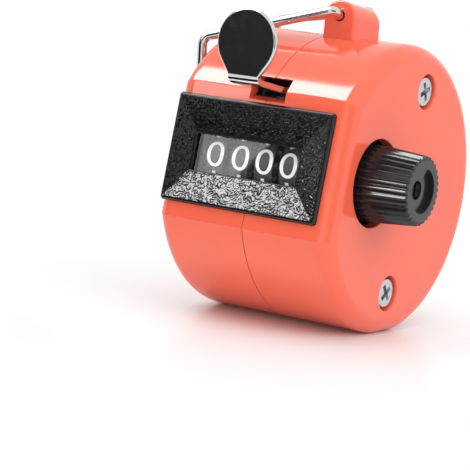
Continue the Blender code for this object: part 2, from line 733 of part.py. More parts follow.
def build_bezel(material):
    """The window bezel: a rounded rim, sloping inner faces, a thin lip and the lens's seat."""
    face = FLAT_DEPTH + BEZEL_PROUD
    seat = FLAT_DEPTH + LENS_GAP
    lip = face - WINDOW_DEPTH
    lip_back = lip - LIP_THICKNESS
    back = lip_back - LENS_THICKNESS - LENS_GAP
    rings = [
        bezel_ring(0, seat),
        bezel_ring(0, face - BEZEL_RIM_ROUND),
        bezel_ring(BEZEL_RIM_ROUND * (1 - cos(pi / 4)), face - BEZEL_RIM_ROUND * (1 - sin(pi / 4))),
        bezel_ring(BEZEL_RIM_ROUND, face),
        bezel_ring(BEZEL_RIM - LIP_THICKNESS, face),
        bezel_ring(BEZEL_RIM, face - LIP_THICKNESS / 2),
        window_ring(0, lip),
        window_ring(0, lip_back),
        window_ring(LIP_WIDTH, lip_back),
        window_ring(LIP_WIDTH, back),
        window_ring(LIP_WIDTH + FUNNEL_WALL, back),
        funnel_ring(FLAT_DEPTH - FUNNEL_WALL),
        funnel_ring(seat),
    ]
    return tilt_to_flat(skin("window_bezel", rings, AXIS_ORIGIN, material, ends="loop"))


def build_lens(material):
    """The clear pane behind the bezel's lip."""
    front = FLAT_DEPTH + BEZEL_PROUD - WINDOW_DEPTH - LIP_THICKNESS - LENS_GAP
    outset = LIP_WIDTH - LENS_GAP
    rings = [window_ring(outset, front), window_ring(outset, front - LENS_THICKNESS)]
    return tilt_to_flat(skin("window_lens", rings, AXIS_ORIGIN, material))


def gear_radii(teeth, wanted=None):
    """Radii of a gear outline with four points to a tooth. Teeth that aren't wanted stay low."""
    pitch_radius = MODULE * teeth / 2
    tip = pitch_radius + MODULE * ADDENDUM_SHARE
    root = pitch_radius - MODULE * DEDENDUM_SHARE
    radii = []
    for tooth in range(teeth):
        kept = wanted is None or tooth in [t % teeth for t in wanted]
        radii += [root, tip, tip, root] if kept else [root] * 4
    return radii


def gear_angles(teeth, phase):
    """Angles of the four points of each tooth."""
    step = 2 * pi / teeth
    root = TOOTH_ROOT_SHARE / 2
    tip = TOOTH_TIP_SHARE / 2
    offsets = (-root, -tip, tip, root)
    return [phase + step * (tooth + offset) for tooth in range(teeth) for offset in offsets]


def geared(name, rows, angles, origin, material):
    """Like turned(), with given angles. Each row is (x, radius or list of radii)."""
    rings = []
    for x, radius in rows:
        radii = radius if isinstance(radius, list) else [radius] * len(angles)
        rings.append([(x, r * cos(a), r * sin(a)) for r, a in zip(radii, angles)])
    return skin(name, rings, origin, material, ends="loop")


def wheel_left(index):
    """Where a digit wheel's left face lies."""
    return WHEELS_LEFT + index * WHEEL_PITCH


def reset_post_place():
    """Where the reset pawl's post stands on its wheel's web, counted from the shaft."""
    return Vector((0, cos(RESET_PAWL_ANGLE), sin(RESET_PAWL_ANGLE))) * RESET_PAWL_RADIUS


def build_wheel(index, material):
    """One digit wheel, with its ring gear for the wheel below it and its carry teeth."""
    angles = gear_angles(RING_TEETH, pi / RING_TEETH)
    full = gear_radii(RING_TEETH)
    pair = gear_radii(RING_TEETH, CARRY_TEETH)
    bore = SHAFT_RADIUS + RUN_GAP
    left = wheel_left(index)
    right = left + WHEEL_WIDTH
    carry = left - CARRY_WIDTH
    if index == UNITS:
        rows = [
            (carry, RING_INNER), (carry, pair), (left, pair), (left, WHEEL_RADIUS),
            (right, WHEEL_RADIUS), (right, RATCHET_HUB_RADIUS), (RATCHET_END, RATCHET_HUB_RADIUS),
            (RATCHET_END, bore), (right - WEB, bore), (right - WEB, RIM_INNER),
            (left + RING_WALL, RIM_INNER), (left + RING_WALL, RING_INNER),
        ]
    else:
        rows = [(carry, bore), (carry, pair), (left, pair)] if index else [(left, bore)]
        rows += [
            (left, WHEEL_RADIUS), (right, WHEEL_RADIUS), (right, full), (right + CARRY_WIDTH, full),
            (right + CARRY_WIDTH, RING_INNER), (right - RING_WALL, RING_INNER),
            (right - RING_WALL, RIM_INNER), (left + WEB, RIM_INNER), (left + WEB, bore),
        ]
    wheel = geared(WHEEL_NAMES[index], rows, angles, SHAFT_ORIGIN, material)
    low, high = reset_pawl_span(index)
    root = SIDE_GAP + WEB / 2
    post_rows = [(low - root, RESET_POST_RADIUS), (high, RESET_POST_RADIUS)]
    if index == UNITS:
        post_rows = [(low, RESET_POST_RADIUS), (high + root, RESET_POST_RADIUS)]
    origin = SHAFT_ORIGIN + reset_post_place()
    join(wheel, rod(f"{WHEEL_NAMES[index]}_post", post_rows, origin, None, 12))
    return wheel


def reset_pawl_span(index):
    """Where a reset pawl lies along X in its wheel's hollow."""
    left = wheel_left(index)
    if index == UNITS:
        high = left + WHEEL_WIDTH - WEB - SIDE_GAP
        return high - RESET_PAWL_WIDTH, high
    low = left + WEB + SIDE_GAP
    return low, low + RESET_PAWL_WIDTH


def pawl_outline(boss, hole, reach, nose, direction):
    """A finger from a boss round the origin to a nose, and the hole's outline."""
    angle = atan2(direction[1], direction[0])
    spread = acos((boss - nose / 2) / reach)
    points = arc(0, 0, boss, angle + spread, angle - spread + 2 * pi, 14)
    tip_y, tip_z = reach * direction[0], reach * direction[1]
    side_y, side_z = -direction[1] * nose / 2, direction[0] * nose / 2
    points += [(tip_y - side_y, tip_z - side_z), (tip_y + side_y, tip_z + side_z)]
    hole_points = arc(0, 0, hole, 0, 2 * pi * 15 / 16, 15)
    return points, hole_points


def build_pawl(name, span, origin, reach, direction, sizes, material):
    """A pawl: a flat finger on a pin. sizes is (boss radius, pin radius, nose width)."""
    boss, pin, nose = sizes
    outline, hole = pawl_outline(boss, pin + RUN_GAP, reach, nose, direction)
    pawl = prism_x(name, outline, span[0], span[1], origin, material)
    cut(pawl, prism_x(f"{name}_hole", hole, span[0] - OVERRUN, span[1] + OVERRUN, origin))
    return pawl


def build_reset_pawl(index, material):
    """The reset pawl in one wheel, its nose just off the shaft."""
    origin = SHAFT_ORIGIN + reset_post_place()
    direction = (-cos(RESET_PAWL_ANGLE), -sin(RESET_PAWL_ANGLE))
    reach = RESET_PAWL_RADIUS - SHAFT_RADIUS - PAWL_NOSE_GAP
    name = WHEEL_NAMES[index].replace("wheel", "reset_pawl")
    sizes = (RESET_PAWL_BOSS, RESET_POST_RADIUS, RESET_PAWL_NOSE)
    return build_pawl(name, reset_pawl_span(index), origin, reach, direction, sizes, material)


def build_pinion(index, material):
    """The transfer pinion between two wheels. Its teeth mesh with the ring gear to its left, and a
    plain hub runs beside the carry teeth to its right, so that each wheel turns by itself."""
    angles = gear_angles(PINION_TEETH, pi)
    full = gear_radii(PINION_TEETH)
    gap = WHEEL_PITCH - WHEEL_WIDTH
    low = wheel_left(index) + WHEEL_WIDTH + (gap - PINION_WIDTH) / 2
    edge = low + PINION_WIDTH * PINION_TEETH_SHARE
    high = low + PINION_WIDTH
    bore = PINION_SHAFT_RADIUS + RUN_GAP
    hub = min(full)
    rows = [(low, bore), (low, full), (edge, full), (edge, hub), (high, hub), (high, bore)]
    name = WHEEL_NAMES[index].replace("wheel", "pinion")
    return geared(name, rows, angles, PINION_ORIGIN, material)


def build_ratchet(material):
    """The ratchet wheel: ten saw teeth, seated on the units wheel's hub."""
    step = 2 * pi / RATCHET_TEETH
    start = atan2(-TO_SHAFT.z, -TO_SHAFT.y)
    angles, radii = [], []
    heights = (RATCHET_TIP, RATCHET_ROOT, (RATCHET_TIP + RATCHET_ROOT) / 2)
    for tooth in range(RATCHET_TEETH):
        for share, radius in zip(RATCHET_TOOTH_SHARES, heights):
            angles.append(start + step * (tooth + share))
            radii.append(radius)
    bore = RATCHET_HUB_RADIUS + RUN_GAP
    rows = [(RATCHET_X, bore), (RATCHET_X, radii), (RATCHET_END, radii), (RATCHET_END, bore)]
    return geared("ratchet_wheel", rows, angles, SHAFT_ORIGIN, material)


def build_shaft(material):
    """The main shaft: groove for the reset pawls, driver disc for the knob, clip groove."""
    neck = SHAFT_RADIUS - CLIP_GROOVE
    clip_low = LEFT_PLATE_X - BUSH_FLANGE_THICKNESS - SIDE_GAP - CLIP_THICKNESS - RUN_GAP
    clip_high = clip_low + CLIP_THICKNESS + 2 * RUN_GAP
    driver_high = CUP_FLOOR_X - SIDE_GAP
    driver_low = driver_high - DRIVER_THICKNESS
    rows = [
        (SHAFT_LEFT, SHAFT_RADIUS), (clip_low, SHAFT_RADIUS), (clip_low, neck), (clip_high, neck),
        (clip_high, SHAFT_RADIUS), (driver_low, SHAFT_RADIUS), (driver_low, DRIVER_RADIUS),
        (driver_high, DRIVER_RADIUS), (driver_high, SHAFT_RADIUS), (SHAFT_RIGHT, SHAFT_RADIUS),
    ]
    shaft = rod("main_shaft", rows, SHAFT_ORIGIN, material, 24)
    groove = box(
        "shaft_groove",
        (wheel_left(0), SHAFT_RADIUS - GROOVE_DEPTH, -GROOVE_WIDTH / 2),
        (RATCHET_X, SHAFT_RADIUS + OVERRUN, GROOVE_WIDTH / 2),
        SHAFT_ORIGIN,
    )
    groove.rotation_euler.x = RESET_PAWL_ANGLE
    hole = KNOB_SCREW_SHANK + RUN_GAP
    screw_rows = [(driver_low - OVERRUN, hole), (driver_high + OVERRUN, hole)]
    screw_hole = rod("driver_hole", screw_rows, knob_screw_origin(), None, 12)
    cut(shaft, groove, screw_hole)
    return shaft


def knob_screw_origin():
    """Where the knob screw's axis runs."""
    return SHAFT_ORIGIN + Vector((0, KNOB_SCREW_Y, KNOB_SCREW_Z))


def build_bush(name, low, high, material):
    """A bush for the main shaft, with a flange at its right-hand end."""
    bore = SHAFT_RADIUS + RUN_GAP / 2
    outer = bore + BUSH_WALL
    flange = outer + BUSH_FLANGE
    edge = high - BUSH_FLANGE_THICKNESS
    rows = [
        (low, bore), (low, outer), (edge, outer), (edge, flange), (high, flange), (high, bore),
    ]
    return turned(name, rows, SHAFT_ORIGIN, material, 24)


def build_pin(name, radius, origin, material):
    """A headed pin through both plates, with a groove for its clip at the left."""
    clip_low = LEFT_PLATE_X - SIDE_GAP - CLIP_THICKNESS - RUN_GAP
    clip_high = clip_low + CLIP_THICKNESS + 2 * RUN_GAP
    neck = radius - CLIP_GROOVE
    head_low = RIGHT_PLATE_END + RUN_GAP
    rows = [
        (LEFT_PLATE_X - PIN_OVERHANG, radius), (clip_low, radius), (clip_low, neck),
        (clip_high, neck), (clip_high, radius), (head_low, radius), (head_low, radius + PIN_HEAD),
        (head_low + PIN_HEAD, radius + PIN_HEAD),
    ]
    return rod(name, rows, origin, material, 16)


def build_clip(name, radius, origin, low, material):
    """An open retaining clip in a pin's groove."""
    inner = radius - CLIP_GROOVE + RUN_GAP
    outer = radius + CLIP_WIDTH
    start = CLIP_OPENING / 2
    end = 2 * pi - start
    outline = arc(0, 0, outer, start, end, 18) + arc(0, 0, inner, end, start, 12)
    return prism_x(name, outline, low, low + CLIP_THICKNESS, origin, material)


def build_frame(material):
    """The mechanism frame: two plates and the web that joins them behind the wheels."""
    web_back = WEB_FRONT_Y + PLATE
    frame = box(
        "mechanism_frame",
        (LEFT_PLATE_X + PLATE / 2, WEB_FRONT_Y, WEB_LOW_Z),
        (RIGHT_PLATE_END - PLATE / 2, web_back, WEB_HIGH_Z),
        AXIS_ORIGIN,
        material,
    )
    outline = [(web_back, share * DRUM_RADIUS) for share in PLATE_BACK_SHARES]
    outline += [(y * DRUM_RADIUS, z * DRUM_RADIUS) for y, z in PLATE_FRONT_SHARES]
    for name, low in (("left_plate", LEFT_PLATE_X), ("right_plate", RIGHT_PLATE_X)):
        join(frame, prism_x(name, outline, low, low + PLATE, AXIS_ORIGIN))
    low = LEFT_PLATE_X - OVERRUN
    high = RIGHT_PLATE_END + OVERRUN
    bush_hole = SHAFT_RADIUS + RUN_GAP / 2 + BUSH_WALL + RUN_GAP
    holes = (
        ("bush_hole", SHAFT_ORIGIN, bush_hole, low),
        ("pivot_hole", PIVOT_ORIGIN, PIVOT_PIN_RADIUS + RUN_GAP, low),
        ("pinion_hole", PINION_ORIGIN, PINION_SHAFT_RADIUS + RUN_GAP, low),
        ("holding_hole", HOLDING_PAWL_ORIGIN, PAWL_PIN_RADIUS + RUN_GAP, RIGHT_PLATE_X - OVERRUN),
    )
    for name, origin, radius, start in holes:
        cut(frame, rod(name, [(start, radius), (high, radius)], origin, None, 16))
    place = stop_place(HOLDING_PAWL_ORIGIN, -HOLDING_DIRECTION, HOLDING_PAWL_REACH)
    stop_rows = [(RATCHET_X, STOP_RADIUS), (RIGHT_PLATE_X + PLATE / 2, STOP_RADIUS)]
    join(frame, rod("holding_stop", stop_rows, place, None, 12))
    return frame


def stop_place(pawl_origin, toward, reach):
    """Where a pawl's stop stands: beside the pawl, on the side away from its leaf spring."""
    along = toward.normalized()
    side = Vector((0, along.z, -along.y))
    at_share = reach * STOP_REACH_SHARE
    half_width = PAWL_BOSS
    return pawl_origin + along * at_share + side * (half_width + STOP_RADIUS)


def lever_profile():
    """The bent strip's outline in (y, z) from the pivot: tongue, bend and the pad's foot."""
    along = Vector((-cos(TONGUE_RISE), sin(TONGUE_RISE)))
    across = Vector((sin(TONGUE_RISE), cos(TONGUE_RISE)))
    front = -LEVER_REACH
    outer_radius = BEND_RADIUS
    inner_radius = BEND_RADIUS - STRIP
    # The lower face runs at half the strip's thickness below the pivot.
    centre_y = front + outer_radius
    low = -across * (STRIP / 2)
    travel = (centre_y - low.x - across.x * outer_radius) / along.x
    touch = low + along * travel
    centre = touch + across * outer_radius
    start = -pi / 2 - TONGUE_RISE
    outer = arc(centre.x, centre.y, outer_radius, start, -pi, 6)
    inner = arc(centre.x, centre.y, inner_radius, -pi, start, 6)
    points = [tuple(low)] + outer
    points += [(front, PAD_FOOT_RISE), (front + STRIP, PAD_FOOT_RISE)]
    points += inner + [tuple(low + across * STRIP)]
    return points


def build_lever(material):
    """The thumb lever: bent strip with a round pad, sleeve on the pin, and the pawl's arm."""
    left = LEVER_X - TONGUE_WIDTH / 2
    right = LEVER_X + TONGUE_WIDTH / 2
    lever = prism_x("thumb_lever", lever_profile(), left, right, PIVOT_ORIGIN, material)
    front = -LEVER_REACH
    last = PAD_STEPS - 1
    circle = arc(0, 0, PAD_RADIUS, 0, 2 * pi * last / PAD_STEPS, last)
    rings = [[(LEVER_X + u, y, PAD_RISE + v) for u, v in circle] for y in (front, front + STRIP)]
    join(lever, skin("lever_pad", rings, PIVOT_ORIGIN, None))
    sleeve_rows = [(SLEEVE_LEFT, SLEEVE_RADIUS), (ARM_END, SLEEVE_RADIUS)]
    join(lever, rod("lever_sleeve", sleeve_rows, PIVOT_ORIGIN, None, 24))
    direction = (TO_SHAFT.y, TO_SHAFT.z)
    boss = SLEEVE_RADIUS + LEAF
    foot = DRIVE_PAWL_DROP + PAWL_BOSS * ARM_FOOT_SHARE
    foot_width = 2 * (PAWL_BOSS + 2 * STOP_RADIUS)
    arm_outline, _ = pawl_outline(boss, boss / 2, foot, foot_width, direction)
    join(lever, prism_x("lever_arm", arm_outline, ARM_X, ARM_END, PIVOT_ORIGIN))
    reach = (SHAFT_ORIGIN - DRIVE_PAWL_ORIGIN).length
    place = stop_place(DRIVE_PAWL_ORIGIN, TO_SHAFT, reach)
    stop_rows = [(RATCHET_X, STOP_RADIUS), (ARM_X + ARM_THICKNESS / 2, STOP_RADIUS)]
    join(lever, rod("drive_stop", stop_rows, place, None, 12))
    bore = PIVOT_PIN_RADIUS + RUN_GAP
    bore_rows = [(SLEEVE_LEFT - OVERRUN, bore), (ARM_END + OVERRUN, bore)]
    cut(lever, rod("lever_bore", bore_rows, PIVOT_ORIGIN, None, 16))
    hole = PAWL_PIN_RADIUS + RUN_GAP
    hole_rows = [(ARM_X - OVERRUN, hole), (ARM_END + OVERRUN, hole)]
    cut(lever, rod("lever_pawl_hole", hole_rows, DRIVE_PAWL_ORIGIN, None, 16))
    return lever


def build_return_spring(material):
    """The lever's return spring: a coil round the sleeve, with a leg at each end."""
    end_turn = 2 * pi * RETURN_TURNS + RETURN_END - RETURN_START
    steps = int(COIL_POINTS * end_turn / (2 * pi))
    length = RETURN_PITCH * end_turn / (2 * pi)
    points = []

    def on_coil(x, turn):
        return Vector((x, RETURN_COIL_RADIUS * cos(turn), RETURN_COIL_RADIUS * sin(turn)))

    points.append(on_coil(LEFT_PLATE_END + SIDE_GAP, RETURN_START))
    points.append(on_coil((LEFT_PLATE_END + RETURN_START_X) / 2, RETURN_START))
    for i in range(steps + 1):
        share = i / steps
        points.append(on_coil(RETURN_START_X + share * length, RETURN_START + share * end_turn))
    points.append(on_coil(RETURN_START_X + length + RETURN_LEG, RETURN_END))
    least = min(
        (points[i] - points[j]).length
        for i in range(2, len(points) - 1)
        for j in range(i + COIL_POINTS // 2, len(points) - 1)
    )
    print(f"return spring: least gap to itself {(least - 2 * RETURN_WIRE) / MM:.2f} mm")
    return tube("lever_return_spring", points, RETURN_WIRE, PIVOT_ORIGIN, material, 1)


def leaf_outline(points):
    """A thin strip of the leaf's thickness along a path of (y, z) points."""
    path = [Vector(point) for point in points]
    left, right = [], []
    for i, point in enumerate(path):
        ahead = (path[min(i + 1, len(path) - 1)] - path[max(i - 1, 0)]).normalized()
        side = Vector((-ahead.y, ahead.x)) * (LEAF / 2)
        left.append(tuple(point + side))
        right.append(tuple(point - side))
    return left + right[::-1]


def build_drive_spring(material):
    """The drive pawl's leaf spring: clipped on the sleeve, its tail along the pawl's back."""
    low = RATCHET_X + (RATCHET_WIDTH - LEAF_WIDTH) / 2
    radius = SLEEVE_RADIUS + LEAF_GAP + LEAF / 2
    along = Vector((TO_SHAFT.y, TO_SHAFT.z))
    side = Vector((-along.y, along.x))
    end_angle = atan2(side.y, side.x)
    path = arc(0, 0, radius, end_angle + LEAF_CLIP_TURN, end_angle, 12)
    tail = PAWL_BOSS + LEAF_GAP + LEAF / 2
    reach = DRIVE_PAWL_DROP + PAWL_BOSS * LEAF_REACH_SHARE
    path.append(tuple(side * tail + along * (DRIVE_PAWL_DROP * LEAF_REACH_SHARE)))
    path.append(tuple(side * tail + along * reach))
    outline = leaf_outline(path)
    return prism_x("drive_pawl_spring", outline, low, low + LEAF_WIDTH, PIVOT_ORIGIN, material)


def build_holding_spring(material):
    """The holding pawl's leaf spring: from the frame's web, under the boss, to the pawl's front."""
    low = RATCHET_X + (RATCHET_WIDTH - LEAF_WIDTH) / 2
    hold = Vector((HOLDING_PAWL_ORIGIN.y, HOLDING_PAWL_ORIGIN.z))
    along = Vector((-HOLDING_DIRECTION.y, -HOLDING_DIRECTION.z))
    side = Vector((-along.y, along.x))
    foot_y = WEB_FRONT_Y - LEAF_GAP - LEAF / 2
    clear = PAWL_BOSS + LEAF_GAP + LEAF / 2
    path = [(foot_y, hold.y), (foot_y, hold.y - clear + LEAF), (foot_y - LEAF, hold.y - clear)]
    end_angle = atan2(side.y, side.x)
    if end_angle > 0:
        end_angle -= 2 * pi
    path += arc(hold.x, hold.y, clear, -pi / 2, end_angle, 6)
    path.append(tuple(hold + side * clear + along * (HOLDING_PAWL_REACH * STOP_REACH_SHARE)))
    outline = leaf_outline(path)
    return prism_x("holding_pawl_spring", outline, low, low + LEAF_WIDTH, AXIS_ORIGIN, material)


def build_pawls(material, pin_material, spring_material):
    """The drive pawl and the holding pawl, each with its pin and leaf spring."""
    span = (RATCHET_X, RATCHET_END)
    sizes = (PAWL_BOSS, PAWL_PIN_RADIUS, PAWL_NOSE)
    distance = (SHAFT_ORIGIN - DRIVE_PAWL_ORIGIN).length
    clear = RATCHET_TIP + PAWL_NOSE_GAP
    toward = (TO_SHAFT.y, TO_SHAFT.z)
    build_pawl("drive_pawl", span, DRIVE_PAWL_ORIGIN, distance - clear, toward, sizes, material)
    rows = [(RATCHET_X - RUN_GAP, PAWL_PIN_RADIUS), (ARM_END + PIN_HEAD, PAWL_PIN_RADIUS)]
    rod("drive_pawl_pin", rows, DRIVE_PAWL_ORIGIN, pin_material, 16)
    build_drive_spring(spring_material)
    toward = (-HOLDING_DIRECTION.y, -HOLDING_DIRECTION.z)
    reach = HOLDING_PAWL_REACH - clear
    build_pawl("holding_pawl", span, HOLDING_PAWL_ORIGIN, reach, toward, sizes, material)
    rows = [(RATCHET_X - RUN_GAP, PAWL_PIN_RADIUS), (RIGHT_PLATE_END + PIN_HEAD, PAWL_PIN_RADIUS)]
    rod("holding_pawl_pin", rows, HOLDING_PAWL_ORIGIN, pin_material, 16)
    build_holding_spring(spring_material)


def crescent_outline():
    """The recess in the knob's end: between an arc about the knob and one about the screw hole."""
    outer = arc(0, 0, CRESCENT_OUTER, CRESCENT_FROM, CRESCENT_TO, 18)
    centre_y, centre_z = KNOB_SCREW_Y, KNOB_SCREW_Z

    def toward(point):
        return atan2(point[1] - centre_z, point[0] - centre_y)

    inner = arc(centre_y, centre_z, CRESCENT_INNER, toward(outer[-1]), toward(outer[0]), 12)
    return outer + inner


def build_knob(material):
    """The reset knob: a fluted, tapered cup with a crescent recess and the screw's hole."""
    angles = [2 * pi * i / (FLUTES * 4) for i in range(FLUTES * 4)]

    def fluted(radius):
        return [radius - FLUTE_DEPTH * FLUTE_SHARES[i % 4] for i in range(FLUTES * 4)]

    tip = KNOB_END_X - KNOB_CHAMFER
    rows = [
        (KNOB_INNER_X, CUP_RADIUS), (KNOB_INNER_X, fluted(KNOB_INNER_RADIUS)),
        (KNOB_TAPER_X, fluted(KNOB_INNER_RADIUS)), (tip, fluted(KNOB_END_RADIUS)),
        (KNOB_END_X, KNOB_END_RADIUS - FLUTE_DEPTH - KNOB_CHAMFER), (KNOB_END_X, CUP_RADIUS),
    ]
    knob = geared("reset_knob", rows, angles, SHAFT_ORIGIN, material)
    plug_rows = [(CUP_FLOOR_X, CUP_RADIUS + RUN_GAP), (KNOB_END_X, CUP_RADIUS + RUN_GAP)]
    join(knob, rod("knob_end_wall", plug_rows, SHAFT_ORIGIN, None, 60))
    recess_low = KNOB_END_X - CRESCENT_DEPTH
    top = KNOB_END_X + OVERRUN
    cut(knob, prism_x("knob_crescent", crescent_outline(), recess_low, top, SHAFT_ORIGIN))
    screw_floor = KNOB_END_X - KNOB_SCREW_DEPTH
    shank = KNOB_SCREW_SHANK + RUN_GAP
    screw_rows = [
        (CUP_FLOOR_X - OVERRUN, shank), (screw_floor, shank), (screw_floor, KNOB_SCREW_HOLE),
        (top, KNOB_SCREW_HOLE),
    ]
    cut(knob, rod("knob_screw_hole", screw_rows, knob_screw_origin(), None, 24))
    bore = SHAFT_RADIUS + RUN_GAP
    bore_rows = [(CUP_FLOOR_X - OVERRUN, bore), (SHAFT_RIGHT + SIDE_GAP, bore)]
    cut(knob, rod("knob_bore", bore_rows, SHAFT_ORIGIN, None, 24))
    return knob


def screw_recess(name, x, reach, width, depth, origin):
    """A cross-shaped recess, as two bars in one body."""
    half = width / 2
    outline = [
        (-half, -reach), (half, -reach), (half, -half), (reach, -half),
        (reach, half), (half, half), (half, reach), (-half, reach),
        (-half, half), (-reach, half), (-reach, -half), (-half, -half),
    ]
    return prism_x(name, outline, x - depth, x + OVERRUN, origin)


def build_knob_screw(material):
    """The screw that ties the knob to the shaft's driver disc."""
    seat = KNOB_END_X - KNOB_SCREW_DEPTH + RUN_GAP
    top = seat + KNOB_SCREW_HEAD_HEIGHT
    rows = [
        (CUP_FLOOR_X - KNOB_SCREW_LENGTH / 2, KNOB_SCREW_SHANK), (seat, KNOB_SCREW_SHANK),
        (seat, KNOB_SCREW_HEAD), (top, KNOB_SCREW_HEAD),
    ]
    screw = rod("knob_screw", rows, knob_screw_origin(), material, 20)
    reach = KNOB_SCREW_HEAD / 2
    width = RECESS_WIDTH / 2
    depth = RECESS_DEPTH / 2
    cut(screw, screw_recess("knob_screw_recess", top, reach, width, depth, knob_screw_origin()))
    return screw


def build_case_screw(name, upper, material):
    """A cross-recess case screw through the right boss into the left one."""
    origin = screw_origin(upper)
    top = DRUM_HALF_WIDTH - SCREW_SINK
    under = top - SCREW_HEAD_HEIGHT
    edge = top - SCREW_HEAD_HEIGHT / 4
    rows = [
        (SCREW_TIP_X, SCREW_SHANK), (under, SCREW_SHANK), (under, SCREW_HEAD_RADIUS),
        (edge, SCREW_HEAD_RADIUS), (top, SCREW_HEAD_RADIUS * cos(pi / 6)),
    ]
    screw = rod(name, rows, origin, material, 24)
    recess_name = f"{name}_recess"
    cut(screw, screw_recess(recess_name, top, RECESS_REACH, RECESS_WIDTH, RECESS_DEPTH, origin))
    return screw


def ring_path():
    """The finger ring's centre line, from its left-hand end in the lug round to the other."""
    corner = Vector((RING_CORNER_X - LUG_X, -RING_LOOP_RADIUS, RING_CORNER_Z - RING_Z))
    exit_point = Vector((0, -RING_EXIT_Y, 0))
    plug = Vector((0, -RING_PLUG, 0))
    down = Vector((-sin(RING_LOOP_LEAN), 0, -cos(RING_LOOP_LEAN)))
    loop_start = corner + down * RING_LOOP_STRAIGHT
    front = [plug]
    front += rounded_corner(plug, exit_point, corner, RING_BEND, 4)
    front += rounded_corner(exit_point, corner, loop_start, RING_CORNER_BEND, 5)
    centre = loop_start + Vector((0, RING_LOOP_RADIUS, 0))
    loop = []
    for i in range(19):
        turn = pi * i / 18
        across = Vector((0, -RING_LOOP_RADIUS * cos(turn), 0))
        loop.append(centre + across + down * (RING_LOOP_RADIUS * sin(turn)))
    back = [Vector((point.x, -point.y, point.z)) for point in reversed(front)]
    return front + loop + back


def build_ring(material):
    """The bent-wire finger ring, hinged in the lug."""
    return tube("finger_ring", ring_path(), RING_WIRE, RING_ORIGIN, material, 2)


def build():
    """Builds every piece of the counter."""
    clear_scene()
    red = make_material("red_case_plastic", (0.80, 0.10, 0.06), 0.3)
    black = make_material("black_bezel_plastic", (0.012, 0.012, 0.013), 0.4)
    knob_black = make_material("black_knob_plastic", (0.02, 0.02, 0.02), 0.45)
    wheel_black = make_material("black_wheel_plastic", (0.015, 0.015, 0.016), 0.5)
    clear = make_material("clear_lens_plastic", (0.9, 0.9, 0.9), 0.05, 0.0, 0.3)
    chrome = make_material("chromed_steel", (0.8, 0.8, 0.8), 0.12, 1.0)
    steel = make_material("plain_steel", (0.55, 0.55, 0.56), 0.35, 1.0)
    spring_steel = make_material("spring_steel", (0.42, 0.42, 0.44), 0.3, 1.0)
    zinc = make_material("zinc_plated_screw", (0.7, 0.7, 0.72), 0.3, 1.0)
    brass = make_material("brass_bush", (0.75, 0.55, 0.25), 0.35, 1.0)
    white_gear = make_material("white_gear_plastic", (0.75, 0.74, 0.7), 0.5)

    build_left_half(red)
    build_right_half(red)
    build_bezel(black)
    build_lens(clear)
    build_frame(steel)
    build_shaft(steel)
    flange = BUSH_FLANGE_THICKNESS + RUN_GAP
    build_bush("left_bush", LEFT_PLATE_X - RUN_GAP, LEFT_PLATE_END + flange, brass)
    build_bush("right_bush", RATCHET_END + SIDE_GAP, RIGHT_PLATE_END + flange, brass)
    for index in range(len(WHEEL_NAMES)):
        build_wheel(index, wheel_black)
        build_reset_pawl(index, steel)
    for index in range(UNITS):
        build_pinion(index, white_gear)
    build_ratchet(steel)
    build_pin("pinion_shaft", PINION_SHAFT_RADIUS, PINION_ORIGIN, steel)
    build_pin("lever_pivot_pin", PIVOT_PIN_RADIUS, PIVOT_ORIGIN, steel)
    clip_x = LEFT_PLATE_X - SIDE_GAP - CLIP_THICKNESS
    build_clip("pinion_shaft_clip", PINION_SHAFT_RADIUS, PINION_ORIGIN, clip_x, spring_steel)
    build_clip("pivot_pin_clip", PIVOT_PIN_RADIUS, PIVOT_ORIGIN, clip_x, spring_steel)
    shaft_clip_x = clip_x - BUSH_FLANGE_THICKNESS
    build_clip("shaft_clip", SHAFT_RADIUS, SHAFT_ORIGIN, shaft_clip_x, spring_steel)
    build_lever(chrome)
    build_return_spring(spring_steel)
    build_pawls(steel, steel, spring_steel)
    build_knob(knob_black)
    build_knob_screw(zinc)
    build_case_screw("case_screw_upper", True, zinc)
    build_case_screw("case_screw_lower", False, zinc)
    build_ring(chrome)


build()
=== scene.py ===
# %% [markdown]
# # A hand tally counter with four digit wheels
# This lesson dresses a finished CAD assembly. The frame already holds every solid, its bodies and
# its joints, so nothing here moves a piece: it only gives each one a finer shape and a real
# finish. The frame is loaded first, because every later cell takes its places from it.

# %% Load the frame
from math import acos, atan2, cos, pi, radians, sin, tan

import bmesh
import bpy
from mathutils import Matrix, Vector


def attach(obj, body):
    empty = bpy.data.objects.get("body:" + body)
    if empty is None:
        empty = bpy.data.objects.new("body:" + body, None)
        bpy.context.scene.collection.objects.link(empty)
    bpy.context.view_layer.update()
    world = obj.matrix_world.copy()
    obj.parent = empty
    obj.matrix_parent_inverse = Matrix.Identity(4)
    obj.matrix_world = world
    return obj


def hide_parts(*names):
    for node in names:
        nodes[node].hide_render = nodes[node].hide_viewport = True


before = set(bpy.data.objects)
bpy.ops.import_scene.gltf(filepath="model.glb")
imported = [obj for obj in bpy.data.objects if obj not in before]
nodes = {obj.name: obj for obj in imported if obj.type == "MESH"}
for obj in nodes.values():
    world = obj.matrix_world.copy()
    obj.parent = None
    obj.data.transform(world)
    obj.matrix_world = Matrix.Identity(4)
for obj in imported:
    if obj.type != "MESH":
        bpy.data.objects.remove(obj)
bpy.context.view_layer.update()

MM = 0.001

# %% [markdown]
# ## Measures
# The counter is a drum on its side: its axis runs along X, 21.8 mm above the table. All the shapes
# below are drawn round that axis, and hand_over() lifts them onto the table at the end. The front
# flat leans back by 10 degrees, so a piece that belongs to it is drawn facing straight forward and
# then turned by the same angle.

